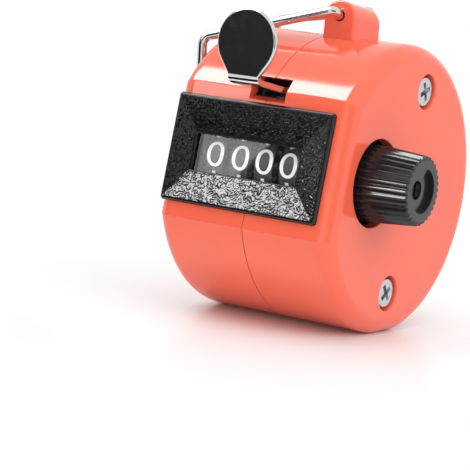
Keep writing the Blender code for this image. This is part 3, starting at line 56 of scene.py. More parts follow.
# %% Measures
AXIS_HEIGHT = 21.8 * MM
DRUM_RADIUS = 22.0 * MM
DRUM_HALF_WIDTH = 15.2 * MM
DRUM_EDGE = 2.4 * MM
WALL = 1.7 * MM
REST_DEPTH = 21.8 * MM
FLAT_DEPTH = 19.5 * MM
FLAT_TILT = radians(10.0)
SEAM_X = 0.25 * MM
SEAM_HALF_GAP = 0.05 * MM
SHAFT = Vector((0, -9.04, 1.58)) * MM
PIVOT = Vector((0, -12.6, 13.2)) * MM
UPPER_SCREW = Vector((0, 3.83, 15.03)) * MM
LOWER_SCREW = Vector((0, -1.59, -15.48)) * MM
POSTS = [Vector(p) * MM for p in ((0, 2.2, 6.5), (0, 2.2, -3.5), (0, -12.7, -7.2))]
TO_FLAT = Vector((0, -cos(FLAT_TILT), sin(FLAT_TILT)))
# Where the ring hinges in the lug, in millimetres.
RING_X, RING_Z = 3.15, 25.2
RING_PLACE = Vector((RING_X, 0, RING_Z)) * MM

# Places nearer than SAME count as one, and a cut merges points nearer than CUT_MERGE. MARGIN is a
# clear step past a face. A face looks along an axis if its normal has more than FACING of it.
SAME = 0.001 * MM
CUT_MERGE = 0.0001 * MM
MARGIN = 0.1 * MM
FACING = 0.99
print(f"drum {2 * DRUM_RADIUS / MM:.0f} mm across and {2 * DRUM_HALF_WIDTH / MM:.1f} mm wide")

# %% [markdown]
# ## Working by hand, in code
# An operator acts on whatever is selected, and the frame arrives selected. These helpers put that
# in order: pick() leaves one object selected, edit() opens it, and choose() selects the faces or
# edges that a test asks for, by their place or their normal. It's the same as clicking them. The
# rest are the tools that come back again and again.

# %% Selecting and applying
def clear_selection():
    """Leaves edit mode and deselects everything."""
    if bpy.context.object and bpy.context.object.mode != "OBJECT":
        bpy.ops.object.mode_set(mode="OBJECT")
    bpy.ops.object.select_all(action="DESELECT")


def pick(obj):
    """Makes obj the only selected object."""
    clear_selection()
    obj.select_set(True)
    bpy.context.view_layer.objects.active = obj


def edit(obj, mode="FACE"):
    """Opens obj in edit mode with all of it selected."""
    pick(obj)
    bpy.ops.object.mode_set(mode="EDIT")
    bpy.ops.mesh.select_mode(type=mode)
    bpy.ops.mesh.select_all(action="SELECT")


def done():
    """Goes back to object mode."""
    bpy.ops.object.mode_set(mode="OBJECT")


def choose(obj, kind, test):
    """Opens obj with only those faces, edges or vertices selected that pass the test."""
    edit(obj, kind)
    bm = bmesh.from_edit_mesh(obj.data)
    for item in bm.faces[:] + bm.edges[:] + bm.verts[:]:
        item.select = False
    chosen = {"FACE": bm.faces, "EDGE": bm.edges, "VERT": bm.verts}[kind]
    picked = [item for item in chosen if test(item)]
    for item in picked:
        item.select = True
    bm.select_flush_mode()
    bmesh.update_edit_mesh(obj.data)
    return len(picked)


def extrude(travel):
    """Extrudes what is selected along travel."""
    bpy.ops.mesh.extrude_region_move(TRANSFORM_OT_translate={"value": travel})


def bevel(obj, test, offset, segments, clamp=False):
    """Bevels the edges that a test asks for."""
    choose(obj, "EDGE", test)
    bpy.ops.mesh.bevel(offset=offset, segments=segments, affect="EDGES", clamp_overlap=clamp)
    done()


def cut_off(obj, place, normal):
    """Cuts away what lies beyond a plane and closes the cut."""
    edit(obj)
    bpy.ops.mesh.bisect(
        plane_co=place, plane_no=normal, use_fill=True, clear_outer=True, threshold=CUT_MERGE,
    )
    done()


def add(operator, **settings):
    """Adds an object with nothing else selected."""
    clear_selection()
    operator(**settings)
    return bpy.context.object


def settle(obj):
    """Puts an object's place, turn and size into its mesh."""
    pick(obj)
    bpy.ops.object.transform_apply(location=True, rotation=True, scale=True)
    return obj


def modify(obj, kind, **settings):
    """Adds a modifier with its settings and applies it."""
    modifier = obj.modifiers.new(kind.lower(), kind)
    for key, value in settings.items():
        setattr(modifier, key, value)
    pick(obj)
    bpy.ops.object.modifier_apply(modifier=modifier.name)


def combine(obj, operation, *others):
    """Cuts the others from obj, or joins them to it, and removes them."""
    for other in others:
        modify(obj, "BOOLEAN", operation=operation, object=other, solver="EXACT")
        bpy.data.objects.remove(other, do_unlink=True)


def outward(obj):
    """Merges doubles and makes the faces point outwards."""
    edit(obj)
    bpy.ops.mesh.remove_doubles(threshold=0.0005 * MM)
    bpy.ops.mesh.normals_make_consistent(inside=False)
    done()
    return obj


# %% [markdown]
# ## Starting shapes
# Three starts cover most of this counter. A bar is a cylinder along X. A plate is an outline drawn
# point by point, the way one extrudes a single vertex by hand, then filled and drawn out. A turned
# piece is a profile line spun about an axis, which is how its mould or lathe made it.

# %% Bars, plates and turned pieces
def bar(low, high, radius, centre, vertices=48):
    """A cylinder along X between two places."""
    return settle(add(
        bpy.ops.mesh.primitive_cylinder_add, vertices=vertices, radius=radius, depth=high - low,
        location=((low + high) / 2, centre.y, centre.z), rotation=(0, pi / 2, 0),
    ))


def draw_line(points):
    """A chain of points: a plane merged to one vertex, then extruded from point to point."""
    obj = add(bpy.ops.mesh.primitive_plane_add, size=MM, location=points[0])
    edit(obj, "VERT")
    bpy.ops.mesh.merge(type="CENTER")
    for before, after in zip(points, points[1:]):
        extrude(Vector(after) - Vector(before))
    done()
    return settle(obj)


def plate(points, travel):
    """An outline, filled and drawn out along travel."""
    obj = draw_line(points)
    edit(obj, "VERT")
    bpy.ops.mesh.edge_face_add()
    extrude(travel)
    done()
    return outward(obj)


def plate_x(outline, low, high):
    """A (y, z) outline drawn out along X."""
    return plate([(low, y, z) for y, z in outline], (high - low, 0, 0))


def turned(profile, centre, steps):
    """A closed profile of (x, radius) points spun about the X axis through centre."""
    points = [(x, centre.y, centre.z + radius) for x, radius in profile]
    obj = draw_line(points)
    edit(obj, "VERT")
    if min(radius for _, radius in profile) > 0:
        bpy.ops.mesh.edge_face_add()
        bpy.ops.mesh.delete(type="ONLY_FACE")
        bpy.ops.mesh.select_all(action="SELECT")
    bpy.ops.mesh.spin(steps=steps, angle=2 * pi, center=(0, centre.y, centre.z), axis=(1, 0, 0))
    done()
    return outward(obj)


def arc(centre_y, centre_z, radius, start, end, steps):
    """Points (y, z) on an arc, both ends included."""
    angles = [start + (end - start) * i / steps for i in range(steps + 1)]
    return [(centre_y + radius * cos(a), centre_z + radius * sin(a)) for a in angles]


def lean(obj):
    """Turns a piece that was drawn facing -Y so that it faces as the front flat does."""
    obj.rotation_euler.x = -FLAT_TILT
    return settle(obj)


def block(low, high):
    """A box between two corners."""
    low, high = Vector(low), Vector(high)
    obj = add(bpy.ops.mesh.primitive_cube_add, size=1, location=(low + high) / 2)
    obj.scale = high - low
    return settle(obj)


# %% [markdown]
# ## Materials from what they really are
# Colours are written as the sRGB hex values that one picks from a swatch, and one function turns
# them into the linear values that the shader wants. node() adds a shader node with its settings
# and links, so that each finish reads as a short recipe. Patterns use Object coordinates, where
# one unit is a metre, so a scale of 1 / (size in metres) gives a pattern its real size.

# %% Colour and node helpers
def linear(code):
    """sRGB hex to linear RGBA."""
    values = [int(code[i:i + 2], 16) / 255 for i in (1, 3, 5)]
    return [v / 12.92 if v <= 0.04045 else ((v + 0.055) / 1.055) ** 2.4 for v in values] + [1.0]


def node(tree, kind, inputs=(), **settings):
    """Adds a node. inputs holds (socket name or number, value or another node's socket)."""
    new = tree.nodes.new(kind)
    for key, value in settings.items():
        setattr(new, key, value)
    for socket, value in inputs:
        if isinstance(value, bpy.types.NodeSocket):
            tree.links.new(value, new.inputs[socket])
        else:
            new.inputs[socket].default_value = value
    return new


def finish(name, colour, roughness, **sockets):
    """A material with a Principled shader. Returns the material, its tree and the shader."""
    material = bpy.data.materials.new(name)
    material.use_nodes = True
    tree = material.node_tree
    shader = tree.nodes["Principled BSDF"]
    shader.inputs["Base Color"].default_value = linear(colour)
    shader.inputs["Roughness"].default_value = roughness
    for key, value in sockets.items():
        shader.inputs[key.replace("_", " ")].default_value = value
    material.diffuse_color = linear(colour)
    return material, tree, shader


def noise(tree, size, detail, stretch=(1, 1, 1)):
    """Noise of a real size in metres, on Object coordinates. Returns its factor."""
    place = node(tree, "ShaderNodeTexCoord")
    mapping = node(
        tree, "ShaderNodeMapping",
        [("Vector", place.outputs["Object"]), ("Scale", stretch)],
    )
    pattern = node(
        tree, "ShaderNodeTexNoise",
        [("Vector", mapping.outputs[0]), ("Scale", 1 / size), ("Detail", detail)],
    )
    return pattern.outputs["Fac"]


def ridges(tree, size):
    """Worm-like ridges: noise folded over at its middle value."""
    centred = node(
        tree, "ShaderNodeMath", [(0, noise(tree, size, 0.5)), (1, 0.5)], operation="SUBTRACT",
    )
    folded = node(tree, "ShaderNodeMath", [(0, centred.outputs[0])], operation="ABSOLUTE")
    return folded.outputs[0]


def vary_roughness(tree, shader, factor, low, high):
    """Turns a factor of about 0.3 to 0.7 into a roughness from low to high."""
    spread = node(
        tree, "ShaderNodeMapRange",
        [
            ("Value", factor), ("From Min", 0.3), ("From Max", 0.7),
            ("To Min", low), ("To Max", high),
        ],
    )
    tree.links.new(spread.outputs[0], shader.inputs["Roughness"])


def vary_colour(tree, shader, factor, first, second):
    """Lets the base colour vary between two hex colours."""
    mix = node(
        tree, "ShaderNodeMix",
        [("Factor", factor), ("A", linear(first)), ("B", linear(second))],
        data_type="RGBA",
    )
    tree.links.new(mix.outputs["Result"], shader.inputs["Base Color"])


def bump(tree, shader, height, strength, distance):
    """A bump from a height, distance in metres. Chains onto a bump that is already there."""
    inputs = [("Height", height), ("Strength", strength), ("Distance", distance)]
    links = shader.inputs["Normal"].links
    if links:
        inputs.append(("Normal", links[0].from_socket))
    new = node(tree, "ShaderNodeBump", inputs)
    tree.links.new(new.outputs[0], shader.inputs["Normal"])


# %% [markdown]
# ## The finishes
# The case is glossy moulded ABS: its surface copies a polished mould, so it is smooth with a faint
# waviness a few millimetres wide. The window frame and the knob are black ABS. The mould of the
# frame is etched to a leather grain, and the knob is satin. The lever and the ring are chromed
# steel, the screws are zinc plated, and the works inside are plain steel, brass and white acetal.

# %% Case plastic
case_red, tree, shader = finish("glossy_red_abs", "#E25F46", 0.13, IOR=1.53)
flow = noise(tree, 9 * MM, 1.0)
pores = noise(tree, 0.35 * MM, 2.0)
vary_colour(tree, shader, flow, "#E05C43", "#E46249")
vary_roughness(tree, shader, pores, 0.11, 0.16)
bump(tree, shader, noise(tree, 2.6 * MM, 1.0), 0.12, 0.02 * MM)
bump(tree, shader, pores, 0.05, 0.01 * MM)

# %% Black plastics
# The grain's coarse lumps are in the mesh. The bump adds worm-like folds 0.6 mm apart, and pits
# about half that size, which sparkle.
grain_black, tree, shader = finish("grained_black_abs", "#0A0A0C", 0.26, IOR=1.5)
folds = ridges(tree, 0.6 * MM)
pits = noise(tree, 0.35 * MM, 1.0)
vary_roughness(tree, shader, pits, 0.10, 0.20)
bump(tree, shader, folds, 1.0, 0.34 * MM)
bump(tree, shader, pits, 0.4, 0.03 * MM)

smooth_black, tree, shader = finish("smooth_black_abs", "#0A0A0C", 0.2, IOR=1.5)
sheen = noise(tree, 1.5 * MM, 2.0)
vary_roughness(tree, shader, sheen, 0.16, 0.26)

knob_black, tree, shader = finish("satin_black_abs", "#1A1A1C", 0.2, IOR=1.53)
rub = noise(tree, 0.8 * MM, 3.0)
vary_roughness(tree, shader, rub, 0.12, 0.21)
vary_colour(tree, shader, rub, "#171719", "#1E1E20")
bump(tree, shader, noise(tree, 0.15 * MM, 2.0), 0.15, 0.01 * MM)

wheel_black, tree, shader = finish("satin_dark_abs", "#3C3C3B", 0.34, IOR=1.53)
dust = noise(tree, 0.5 * MM, 3.0)
vary_roughness(tree, shader, dust, 0.34, 0.48)
vary_colour(tree, shader, dust, "#383837", "#414140")

# %% Ink, lens and acetal
ink_white, tree, shader = finish("white_pad_printed_ink", "#F4F4F0", 0.45)
cover = noise(tree, 0.4 * MM, 2.0)
vary_colour(tree, shader, cover, "#ECECE8", "#FAFAF8")
bump(tree, shader, cover, 0.1, 0.005 * MM)

clear_pane, tree, shader = finish(
    "clear_acrylic", "#FFFFFF", 0.02, IOR=1.49, Transmission_Weight=1.0,
)
wipe = noise(tree, 3.0 * MM, 2.0)
vary_roughness(tree, shader, wipe, 0.01, 0.04)

acetal_white, tree, shader = finish("white_acetal", "#E9E6DC", 0.42)
skin_tone = noise(tree, 0.6 * MM, 2.0)
vary_colour(tree, shader, skin_tone, "#E4E1D6", "#EEEBE2")
bump(tree, shader, skin_tone, 0.08, 0.01 * MM)

# %% Metals
# Each metal keeps the default IOR. Steel has the marks of its rolling, stretched along X, and brass
# those of its turning, round X. On chrome and zinc the marks are even in all directions.
def metal(name, colour, roughness, spread, mark, depth, stretch=(0.15, 1, 1)):
    """A metal with fine marks of a real width. spread is how much the roughness varies."""
    material, tree, shader = finish(name, colour, roughness, Metallic=1.0)
    marks = noise(tree, mark, 3.0, stretch)
    low, high = roughness - spread, roughness + spread
    vary_roughness(tree, shader, marks, low, high)
    bump(tree, shader, marks, 0.2, depth)
    return material


chrome = metal("chromed_steel", "#D6D6D8", 0.07, 0.03, 0.9 * MM, 0.002 * MM, (1, 1, 1))
plain_steel = metal("rolled_steel", "#A9AAAD", 0.32, 0.07, 0.25 * MM, 0.005 * MM)
spring_steel = metal("spring_steel", "#8E8F94", 0.28, 0.06, 0.2 * MM, 0.004 * MM)
zinc = metal("zinc_plated_steel", "#C9CBD0", 0.24, 0.07, 0.3 * MM, 0.006 * MM, (1, 1, 1))
brass = metal("turned_brass", "#CFA65A", 0.26, 0.06, 0.15 * MM, 0.004 * MM, (1, 0.3, 0.3))
print(f"{len(bpy.data.materials)} materials, the frame's own among them")

# %% [markdown]
# ## Handing a piece over
# A finished piece is lifted to its height above the table, gets its material and smooth shading,
# and rides on the CAD body that carries it. replaces says which CAD node it stands for.

# %% Hand over
def hand_over(obj, name, body, slot, material, *replaced, angle=30.0):
    """Names, lifts, shades and finishes a piece, and makes it ride on its body.

    Weighted normals keep the flat faces flat to the eye, right up to their rolled edges.
    """
    obj.name = name
    obj.data.name = name
    pick(obj)
    obj.location.z += AXIS_HEIGHT
    settle(obj)
    bpy.ops.object.shade_smooth_by_angle(angle=radians(angle))
    modify(obj, "WEIGHTED_NORMAL", mode="FACE_AREA", weight=50, keep_sharp=True)
    obj.data.materials.clear()
    obj.data.materials.append(material)
    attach(obj, body)
    if replaced:
        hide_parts(*replaced)
    count = sum(len(face.vertices) - 2 for face in obj.data.polygons)
    print(f"{name}: {count} triangles")


# %% [markdown]
# ## The drum
# The case is a thick disc with two flats, and every edge of it is rolled, as a mould leaves it.
# One bevel over a cut drum would pinch where a flat runs out into the round. So a cylinder and two
# slabs are rolled one by one, and a Boolean keeps what they share. The cylinder has many sides,
# because its round shows in every reflection. The hollow is a smaller drum with plain edges, and
# there two bisects cut the flats.

# %% A drum of any size
DRUM_SIDES = 240


def drum(inset, low, high):
    """A plain drum drawn in by inset, between two places along X."""
    obj = bar(low, high, DRUM_RADIUS - inset, Vector((0, 0, 0)), DRUM_SIDES)
    flats = ((TO_FLAT, FLAT_DEPTH - inset), (Vector((0, 0, -1)), REST_DEPTH - inset))
    for normal, depth in flats:
        cut_off(obj, normal * depth, normal)
    return outward(obj)


def across(edge, axis=0):
    """An edge that lies across an axis, which is X unless another is named."""
    return abs(edge.verts[0].co[axis] - edge.verts[1].co[axis]) < SAME


def rolled_slab(depth, turn):
    """A slab whose front stands at that depth with rolled ends, turned about X."""
    reach = 2 * DRUM_RADIUS
    obj = block((-DRUM_HALF_WIDTH, -depth, -reach), (DRUM_HALF_WIDTH, reach, reach))
    front = -depth + MARGIN
    bevel(obj, lambda e: across(e) and all(v.co.y < front for v in e.verts), DRUM_EDGE, 8)
    outward(obj)
    obj.rotation_euler.x = turn
    return settle(obj)


def rolled_drum():
    """The whole outer drum: a rolled cylinder, met by a rolled slab at each flat."""
    obj = bar(-DRUM_HALF_WIDTH, DRUM_HALF_WIDTH, DRUM_RADIUS, Vector((0, 0, 0)), DRUM_SIDES)
    bevel(obj, across, DRUM_EDGE, 8)
    outward(obj)
    combine(
        obj, "INTERSECT",
        rolled_slab(FLAT_DEPTH, -FLAT_TILT), rolled_slab(REST_DEPTH, pi / 2),
    )
    return outward(obj)


# %% [markdown]
# ## Openings in the case
# Four kinds of opening go through the drum: the window, the lever's slot with the ramp below it,
# the knob's hole and the screws' counterbores. Each one is a solid of its own that a Boolean cuts
# out. The round ones are turned with a small flare at the surface, so that the hole gets the soft
# edge that a mould gives it.

# %% Cutters
HOLE_EDGE = 0.25 * MM
OVERRUN = 1.0 * MM
SLOT = (-2.75 * MM, 3.35 * MM)
CASE_OPENING = (-13.35 * MM, 11.05 * MM, -6.75 * MM, 7.05 * MM)


def window_opening():
    """The opening in the front flat behind the window frame."""
    left, right, bottom, top = CASE_OPENING
    low = (left, -FLAT_DEPTH - OVERRUN, bottom)
    high = (right, -FLAT_DEPTH + WALL + OVERRUN, top)
    return lean(block(low, high))


def slot_opening():
    """The lever's slot, and the ramp under it."""
    depths = (15.5, 15.5, 17.8, 19.5, 23.0, 23.0)
    heights = (12.5, 9.55, 9.55, 8.75, 8.75, 12.5)
    outline = [(-depth * MM, height * MM) for depth, height in zip(depths, heights)]
    return lean(plate_x(outline, *SLOT))


def round_opening(low, radius, centre, steps):
    """A round hole through the right disc, flared at the surface."""
    surface = DRUM_HALF_WIDTH
    flare = [
        (surface - HOLE_EDGE + HOLE_EDGE * sin(turn), radius + HOLE_EDGE * (1 - cos(turn)))
        for turn in (0, pi / 6, pi / 3, pi / 2)
    ]
    profile = [(low, 0), (low, radius)] + flare
    profile += [(surface + OVERRUN, flare[-1][1]), (surface + OVERRUN, 0)]
    return turned(profile, centre, steps)


# %% [markdown]
# ## Left case half
# The drum is cut at the seam and hollowed. A tiny chamfer on both sides of the seam gives the fine
# dark line that runs round the real case. Inside are the screw bosses and the posts for the works.

# %% Left case half
SEAM_CHAMFER = 0.04 * MM
LIP_INSET = 1.0 * MM
LIP_REACH = 1.0 * MM
BOSS_RADIUS = 2.7 * MM
BOSS_GAP = 0.2 * MM
POST_RADIUS = 1.2 * MM
LEFT_POST_END = -11.75 * MM
PILOT_END = -10.125 * MM
PILOT_RADIUS = 1.26 * MM


def half_of_drum(side):
    """One half of the outer drum, from the seam to its disc, with the seam's chamfer."""
    obj = rolled_drum()
    seam = SEAM_X + side * SEAM_HALF_GAP
    cut_off(obj, (seam, 0, 0), (-side, 0, 0))
    outward(obj)
    bevel(obj, lambda e: all(abs(v.co.x - seam) < SAME for v in e.verts), SEAM_CHAMFER, 1)
    return outward(obj)


seam_left = SEAM_X - SEAM_HALF_GAP
inner_left = WALL - DRUM_HALF_WIDTH
left_half = half_of_drum(-1)
lip = drum(LIP_INSET, seam_left - OVERRUN, seam_left + LIP_REACH)
combine(left_half, "UNION", lip)
combine(left_half, "DIFFERENCE", drum(WALL, inner_left, seam_left + 2 * OVERRUN))
for screw in (UPPER_SCREW, LOWER_SCREW):
    boss = bar(inner_left - OVERRUN / 2, seam_left - BOSS_GAP, BOSS_RADIUS, screw, 40)
    pilot = bar(PILOT_END, seam_left + OVERRUN, PILOT_RADIUS, screw, 24)
    combine(left_half, "UNION", boss)
    combine(left_half, "DIFFERENCE", pilot)
for post in POSTS:
    combine(
        left_half, "UNION",
        bar(inner_left - OVERRUN / 2, LEFT_POST_END, POST_RADIUS, post, 24),
    )
combine(left_half, "DIFFERENCE", window_opening(), slot_opening())
hand_over(left_half, "left_case_shell", "case", "red_case_plastic", case_red, "left_case_half")

# %% [markdown]
# ## Right case half
# The right half also carries the lug for the finger ring. The lug is an arch, drawn from the front
# and drawn out to the back, whose crest falls as it goes. A bevel rounds its ends, and it is
# joined before the drum is hollowed, so that nothing of it hangs inside.

# %% Right case half
LUG_HALF = 2.65 * MM
LUG_TOP = 27.5 * MM
LUG_FALL = 1.05 * MM
LUG_REACH = 4.05 * MM
LUG_ROOT = 20.5 * MM
LUG_SKIRT = 22.4 * MM
LUG_FOOT = 0.5 * MM
LUG_ROUND = 0.35 * MM
RING_HOLE, RING_HOLE_LENGTH = 0.9 * MM, 12 * MM
ROOTED = 0.5 * MM
SCREW_HOLE, SCREW_HOLE_END = 1.35 * MM, 14.0 * MM
HEAD_HOLE = 2.65 * MM
HEAD_FLOOR = 13.6 * MM
RIGHT_POST_END = 10.55 * MM
KNOB_HOLE = 6.55 * MM
LIP_GROOVE_INSET = 0.9 * MM
LIP_GROOVE_REACH = 1.15 * MM


def lug():
    """The arched lug that the finger ring hinges in."""
    centre = RING_X * MM
    outline = [(centre - LUG_HALF, LUG_ROOT)]
    outline += [
        (centre + LUG_HALF * cos(turn), LUG_TOP - LUG_HALF + LUG_HALF * sin(turn))
        for turn in [pi * (1 - i / 28) for i in range(29)]
    ]
    outline += [
        (centre + LUG_HALF, LUG_SKIRT),
        (centre + LUG_HALF + LUG_FOOT, LUG_ROOT),
    ]
    obj = plate([(x, -LUG_REACH, z) for x, z in outline], (0, 2 * LUG_REACH, 0))
    choose(obj, "VERT", lambda v: v.co.y > 0 and v.co.z > LUG_SKIRT + MARGIN)
    bpy.ops.transform.translate(value=(0, 0, -LUG_FALL))
    done()
    bevel(
        obj, lambda e: across(e, 1) and max(v.co.z for v in e.verts) > LUG_ROOT + MARGIN,
        LUG_ROUND, 4,
    )
    return outward(obj)


def ring_opening():
    """The straight hole through the lug."""
    return settle(add(
        bpy.ops.mesh.primitive_cylinder_add, vertices=40, radius=RING_HOLE,
        depth=RING_HOLE_LENGTH, location=(RING_X * MM, 0, RING_Z * MM), rotation=(pi / 2, 0, 0),
    ))


seam_right = SEAM_X + SEAM_HALF_GAP
inner_right = DRUM_HALF_WIDTH - WALL
right_half = half_of_drum(1)
combine(right_half, "UNION", lug())
combine(right_half, "DIFFERENCE", drum(WALL, seam_right - OVERRUN, inner_right))
combine(
    right_half, "DIFFERENCE",
    drum(LIP_GROOVE_INSET, seam_right - 2 * OVERRUN, seam_right + LIP_GROOVE_REACH),
)
for screw in (UPPER_SCREW, LOWER_SCREW):
    boss = bar(seam_right + BOSS_GAP, inner_right + ROOTED, BOSS_RADIUS, screw, 40)
    combine(right_half, "UNION", boss)
    combine(
        right_half, "DIFFERENCE",
        bar(seam_right - OVERRUN, SCREW_HOLE_END, SCREW_HOLE, screw, 24),
        round_opening(HEAD_FLOOR, HEAD_HOLE, screw, 64),
    )
for post in POSTS:
    combine(
        right_half, "UNION",
        bar(RIGHT_POST_END, inner_right + ROOTED, POST_RADIUS, post, 24),
    )
combine(
    right_half, "DIFFERENCE",
    round_opening(inner_right - OVERRUN, KNOB_HOLE, SHAFT, 128),
    window_opening(), slot_opening(), ring_opening(),
)
hand_over(right_half, "right_case_shell", "case", "red_case_plastic", case_red, "right_case_half")

# %% [markdown]
# ## Window frame
# The window frame is one moulding. It starts as a flat plate with rounded corners. Its face is
# inset to leave the smooth rim, and then drawn in and moved to the window, which makes the four
# slopes. A narrow black ledge stays flat round the window. The slopes are subdivided and pushed
# about by two patterns half a millimetre wide, so that the leather grain's lumps are in the shape
# itself.

# %% Window frame
OUTER = (-14.6 * MM, 12.5 * MM, -8.05 * MM, 8.35 * MM)
WINDOW = (-11.8 * MM, 7.2 * MM, -3.1 * MM, 3.35 * MM)
LEDGE = (-11.25 * MM, 7.05 * MM, -2.9 * MM, 2.7 * MM)
SEAT = (-12.2 * MM, 8.0 * MM, -3.9 * MM, 4.15 * MM)
FUNNEL = (-13.2 * MM, 10.9 * MM, -6.6 * MM, 6.9 * MM)
PLATE_DEPTH = 19.6 * MM
PLATE_CORNER = 0.55 * MM
PLATE_SIDE = 0.3 * MM
# How far each step of the rim is inset and raised. The insets add up to RIM.
RIM_STEPS = ((0.20, 0.27), (0.05, 0.10), (0.05, 0.03), (0.20, 0.0))
RIM = 0.5 * MM


def middle(box):
    """Middle of a (left, right, bottom, top) box, as (x, z)."""
    return (box[0] + box[1]) / 2, (box[2] + box[3]) / 2


def window_frame():
    """The outside, the rim and the slopes, down to the window's edge."""
    x, z = middle(OUTER)
    obj = add(
        bpy.ops.mesh.primitive_plane_add, size=1, location=(x, -PLATE_DEPTH, z),
        rotation=(pi / 2, 0, 0),
    )
    obj.scale = (OUTER[1] - OUTER[0], OUTER[3] - OUTER[2], 1)
    settle(obj)
    edit(obj, "VERT")
    bpy.ops.mesh.bevel(offset=PLATE_CORNER, segments=5, affect="VERTICES")
    bpy.ops.mesh.select_mode(type="FACE")
    bpy.ops.mesh.select_all(action="SELECT")
    extrude((0, -PLATE_SIDE, 0))
    for inset, rise in RIM_STEPS:
        bpy.ops.mesh.inset(thickness=inset * MM, depth=rise * MM)
    done()
    return obj


frame_obj = window_frame()
face_y = min(v.co.y for v in frame_obj.data.vertices)
print(f"face at {-face_y / MM:.2f} mm")

# %% [markdown]
# The next steps draw the face in from the rim to the window. Its long edges are divided first, so
# that the slopes come out as a fine grid. An extrude that goes nowhere puts a new face on top of
# the old one, and resize and translate then take it to the window's size and place. The same three
# moves go on behind the window, past the ledge to the lens's seat and the funnel that fills the
# opening in the case. The left strip of the flange behind the lens is drawn out as a baffle, which
# closes the view beside the wheels. The baffle is painted shade: a black sheet where the inside
# would be in shade. The lens casts no shadow, so without it the lamps would light the red wall
# there.

# %% Slopes, lens seat and funnel
WINDOW_AREA = 40 * MM * MM
LONG_EDGE = 10 * MM
LIP_DEPTH = 18.3 * MM
GRID = 0.18 * MM
INNER_RIM = (OUTER[0] + RIM, OUTER[1] - RIM, OUTER[2] + RIM, OUTER[3] - RIM)


def grown(box, by):
    """A (left, right, bottom, top) box, larger by that much on every side."""
    return (box[0] - by, box[1] + by, box[2] - by, box[3] + by)


def to_box(current, wanted, deeper):
    """Draws the chosen face from one box to another, and deeper into the counter."""
    (x0, z0), (x1, z1) = middle(current), middle(wanted)
    scale_x = (wanted[1] - wanted[0]) / (current[1] - current[0])
    scale_z = (wanted[3] - wanted[2]) / (current[3] - current[2])
    extrude((0, 0, 0))
    bpy.ops.transform.resize(value=(scale_x, 1, scale_z), center_override=(x0, 0, z0))
    bpy.ops.transform.translate(value=(x1 - x0, deeper, z1 - z0))


def big_front_face(face):
    """The one large face that looks forward."""
    return face.normal.y < -FACING and face.calc_area() > WINDOW_AREA


choose(frame_obj, "FACE", big_front_face)
face = next(f for f in bmesh.from_edit_mesh(frame_obj.data).faces if f.select)
long_edges = [
    ({v.index for v in edge.verts}, edge.calc_length()) for edge in face.edges
    if edge.calc_length() > LONG_EDGE
]
done()
for ends, length in long_edges:
    choose(frame_obj, "EDGE", lambda edge: {v.index for v in edge.verts} == ends)
    bpy.ops.mesh.subdivide(number_cuts=int(length / GRID))
    done()
choose(frame_obj, "FACE", big_front_face)
to_box(INNER_RIM, WINDOW, -face_y - LIP_DEPTH)
done()

# %% Behind the window
FLANGE = grown(SEAT, 0.8 * MM)
SEAT_BACK = 17.15 * MM
BACK_AREA = 300 * MM * MM
SHADE_BAFFLE = 3.4 * MM

# From which box to which, and how many millimetres deeper.
steps = (
    (WINDOW, LEDGE, 0.0),
    (LEDGE, LEDGE, 0.35),
    (LEDGE, SEAT, 0.0),
    (SEAT, SEAT, 0.8),
    (SEAT, FLANGE, 0.0),
    (FLANGE, FUNNEL, -1.55),
    (FUNNEL, FUNNEL, -0.9),
)
choose(frame_obj, "FACE", big_front_face)
for current, wanted, deeper in steps:
    to_box(current, wanted, deeper * MM)
bpy.ops.mesh.delete(type="FACE")
done()
choose(frame_obj, "FACE", lambda f: f.normal.y > FACING and f.calc_area() > BACK_AREA)
bpy.ops.mesh.delete(type="ONLY_FACE")
done()
count = choose(frame_obj, "EDGE", lambda e: e.is_boundary)
bpy.ops.mesh.bridge_edge_loops()
done()
outward(frame_obj)
# Painted shade: the baffle is a black sheet that hides the red wall beside the wheels, which the
# lamps light through the shadowless lens.
baffle = choose(
    frame_obj, "FACE",
    lambda f: f.normal.y > FACING and f.calc_center_median().x < SEAT[0]
    and abs(f.calc_center_median().y + SEAT_BACK) < 10 * SAME,
)
extrude((0, SHADE_BAFFLE, 0))
done()
print(f"{count} edges bridged at the back, {baffle} face drawn out as a baffle")

# %% [markdown]
# ## Leather grain
# Only the slopes are grained. They are cut across as finely as they are along, and their vertices
# go into a group that the Displace modifier pushes along the normals. The real grain has folds
# about half a millimetre apart. The mesh carries its lumps, and the material's bump its finest
# folds.

# %% Grain on the slopes
SHORT_EDGE = 2.5 * MM
SLOPE_LENGTH = 5 * MM
STEEPEST, FLATTEST = 0.25, 0.985


def slanted(centre, normal):
    """A face that slants and lies inside the rim."""
    left, right, bottom, top = INNER_RIM
    inside = left < centre.x < right and bottom < centre.z < top
    return inside and STEEPEST < -normal.y < FLATTEST


def on_slope(vertex):
    """A vertex of the slopes, away from the rim and the window's edge."""
    return all(slanted(f.calc_center_median(), f.normal) for f in vertex.link_faces)


def slope_edge(edge):
    """An edge that runs down a slope, from the rim to the window."""
    return edge.calc_length() > SHORT_EDGE and any(
        slanted(f.calc_center_median(), f.normal) for f in edge.link_faces
    )


count = choose(frame_obj, "EDGE", slope_edge)
bpy.ops.mesh.subdivide(number_cuts=int(SLOPE_LENGTH / GRID))
done()
grained = choose(frame_obj, "VERT", on_slope)
done()
group = frame_obj.vertex_groups.new(name="slopes")
group.add([v.index for v in frame_obj.data.vertices if v.select], 1.0, "REPLACE")
print(f"{count} edges cut across, {grained} vertices to grain")


def grain(kind, size, depth, **settings):
    """Pushes the slopes about by a pattern of that size."""
    texture = bpy.data.textures.new(f"{kind.lower()}_grain", kind)
    texture.noise_scale = size
    for key, value in settings.items():
        setattr(texture, key, value)
    modify(
        frame_obj, "DISPLACE", texture=texture, strength=depth, mid_level=0.5,
        texture_coords="LOCAL", vertex_group="slopes",
    )


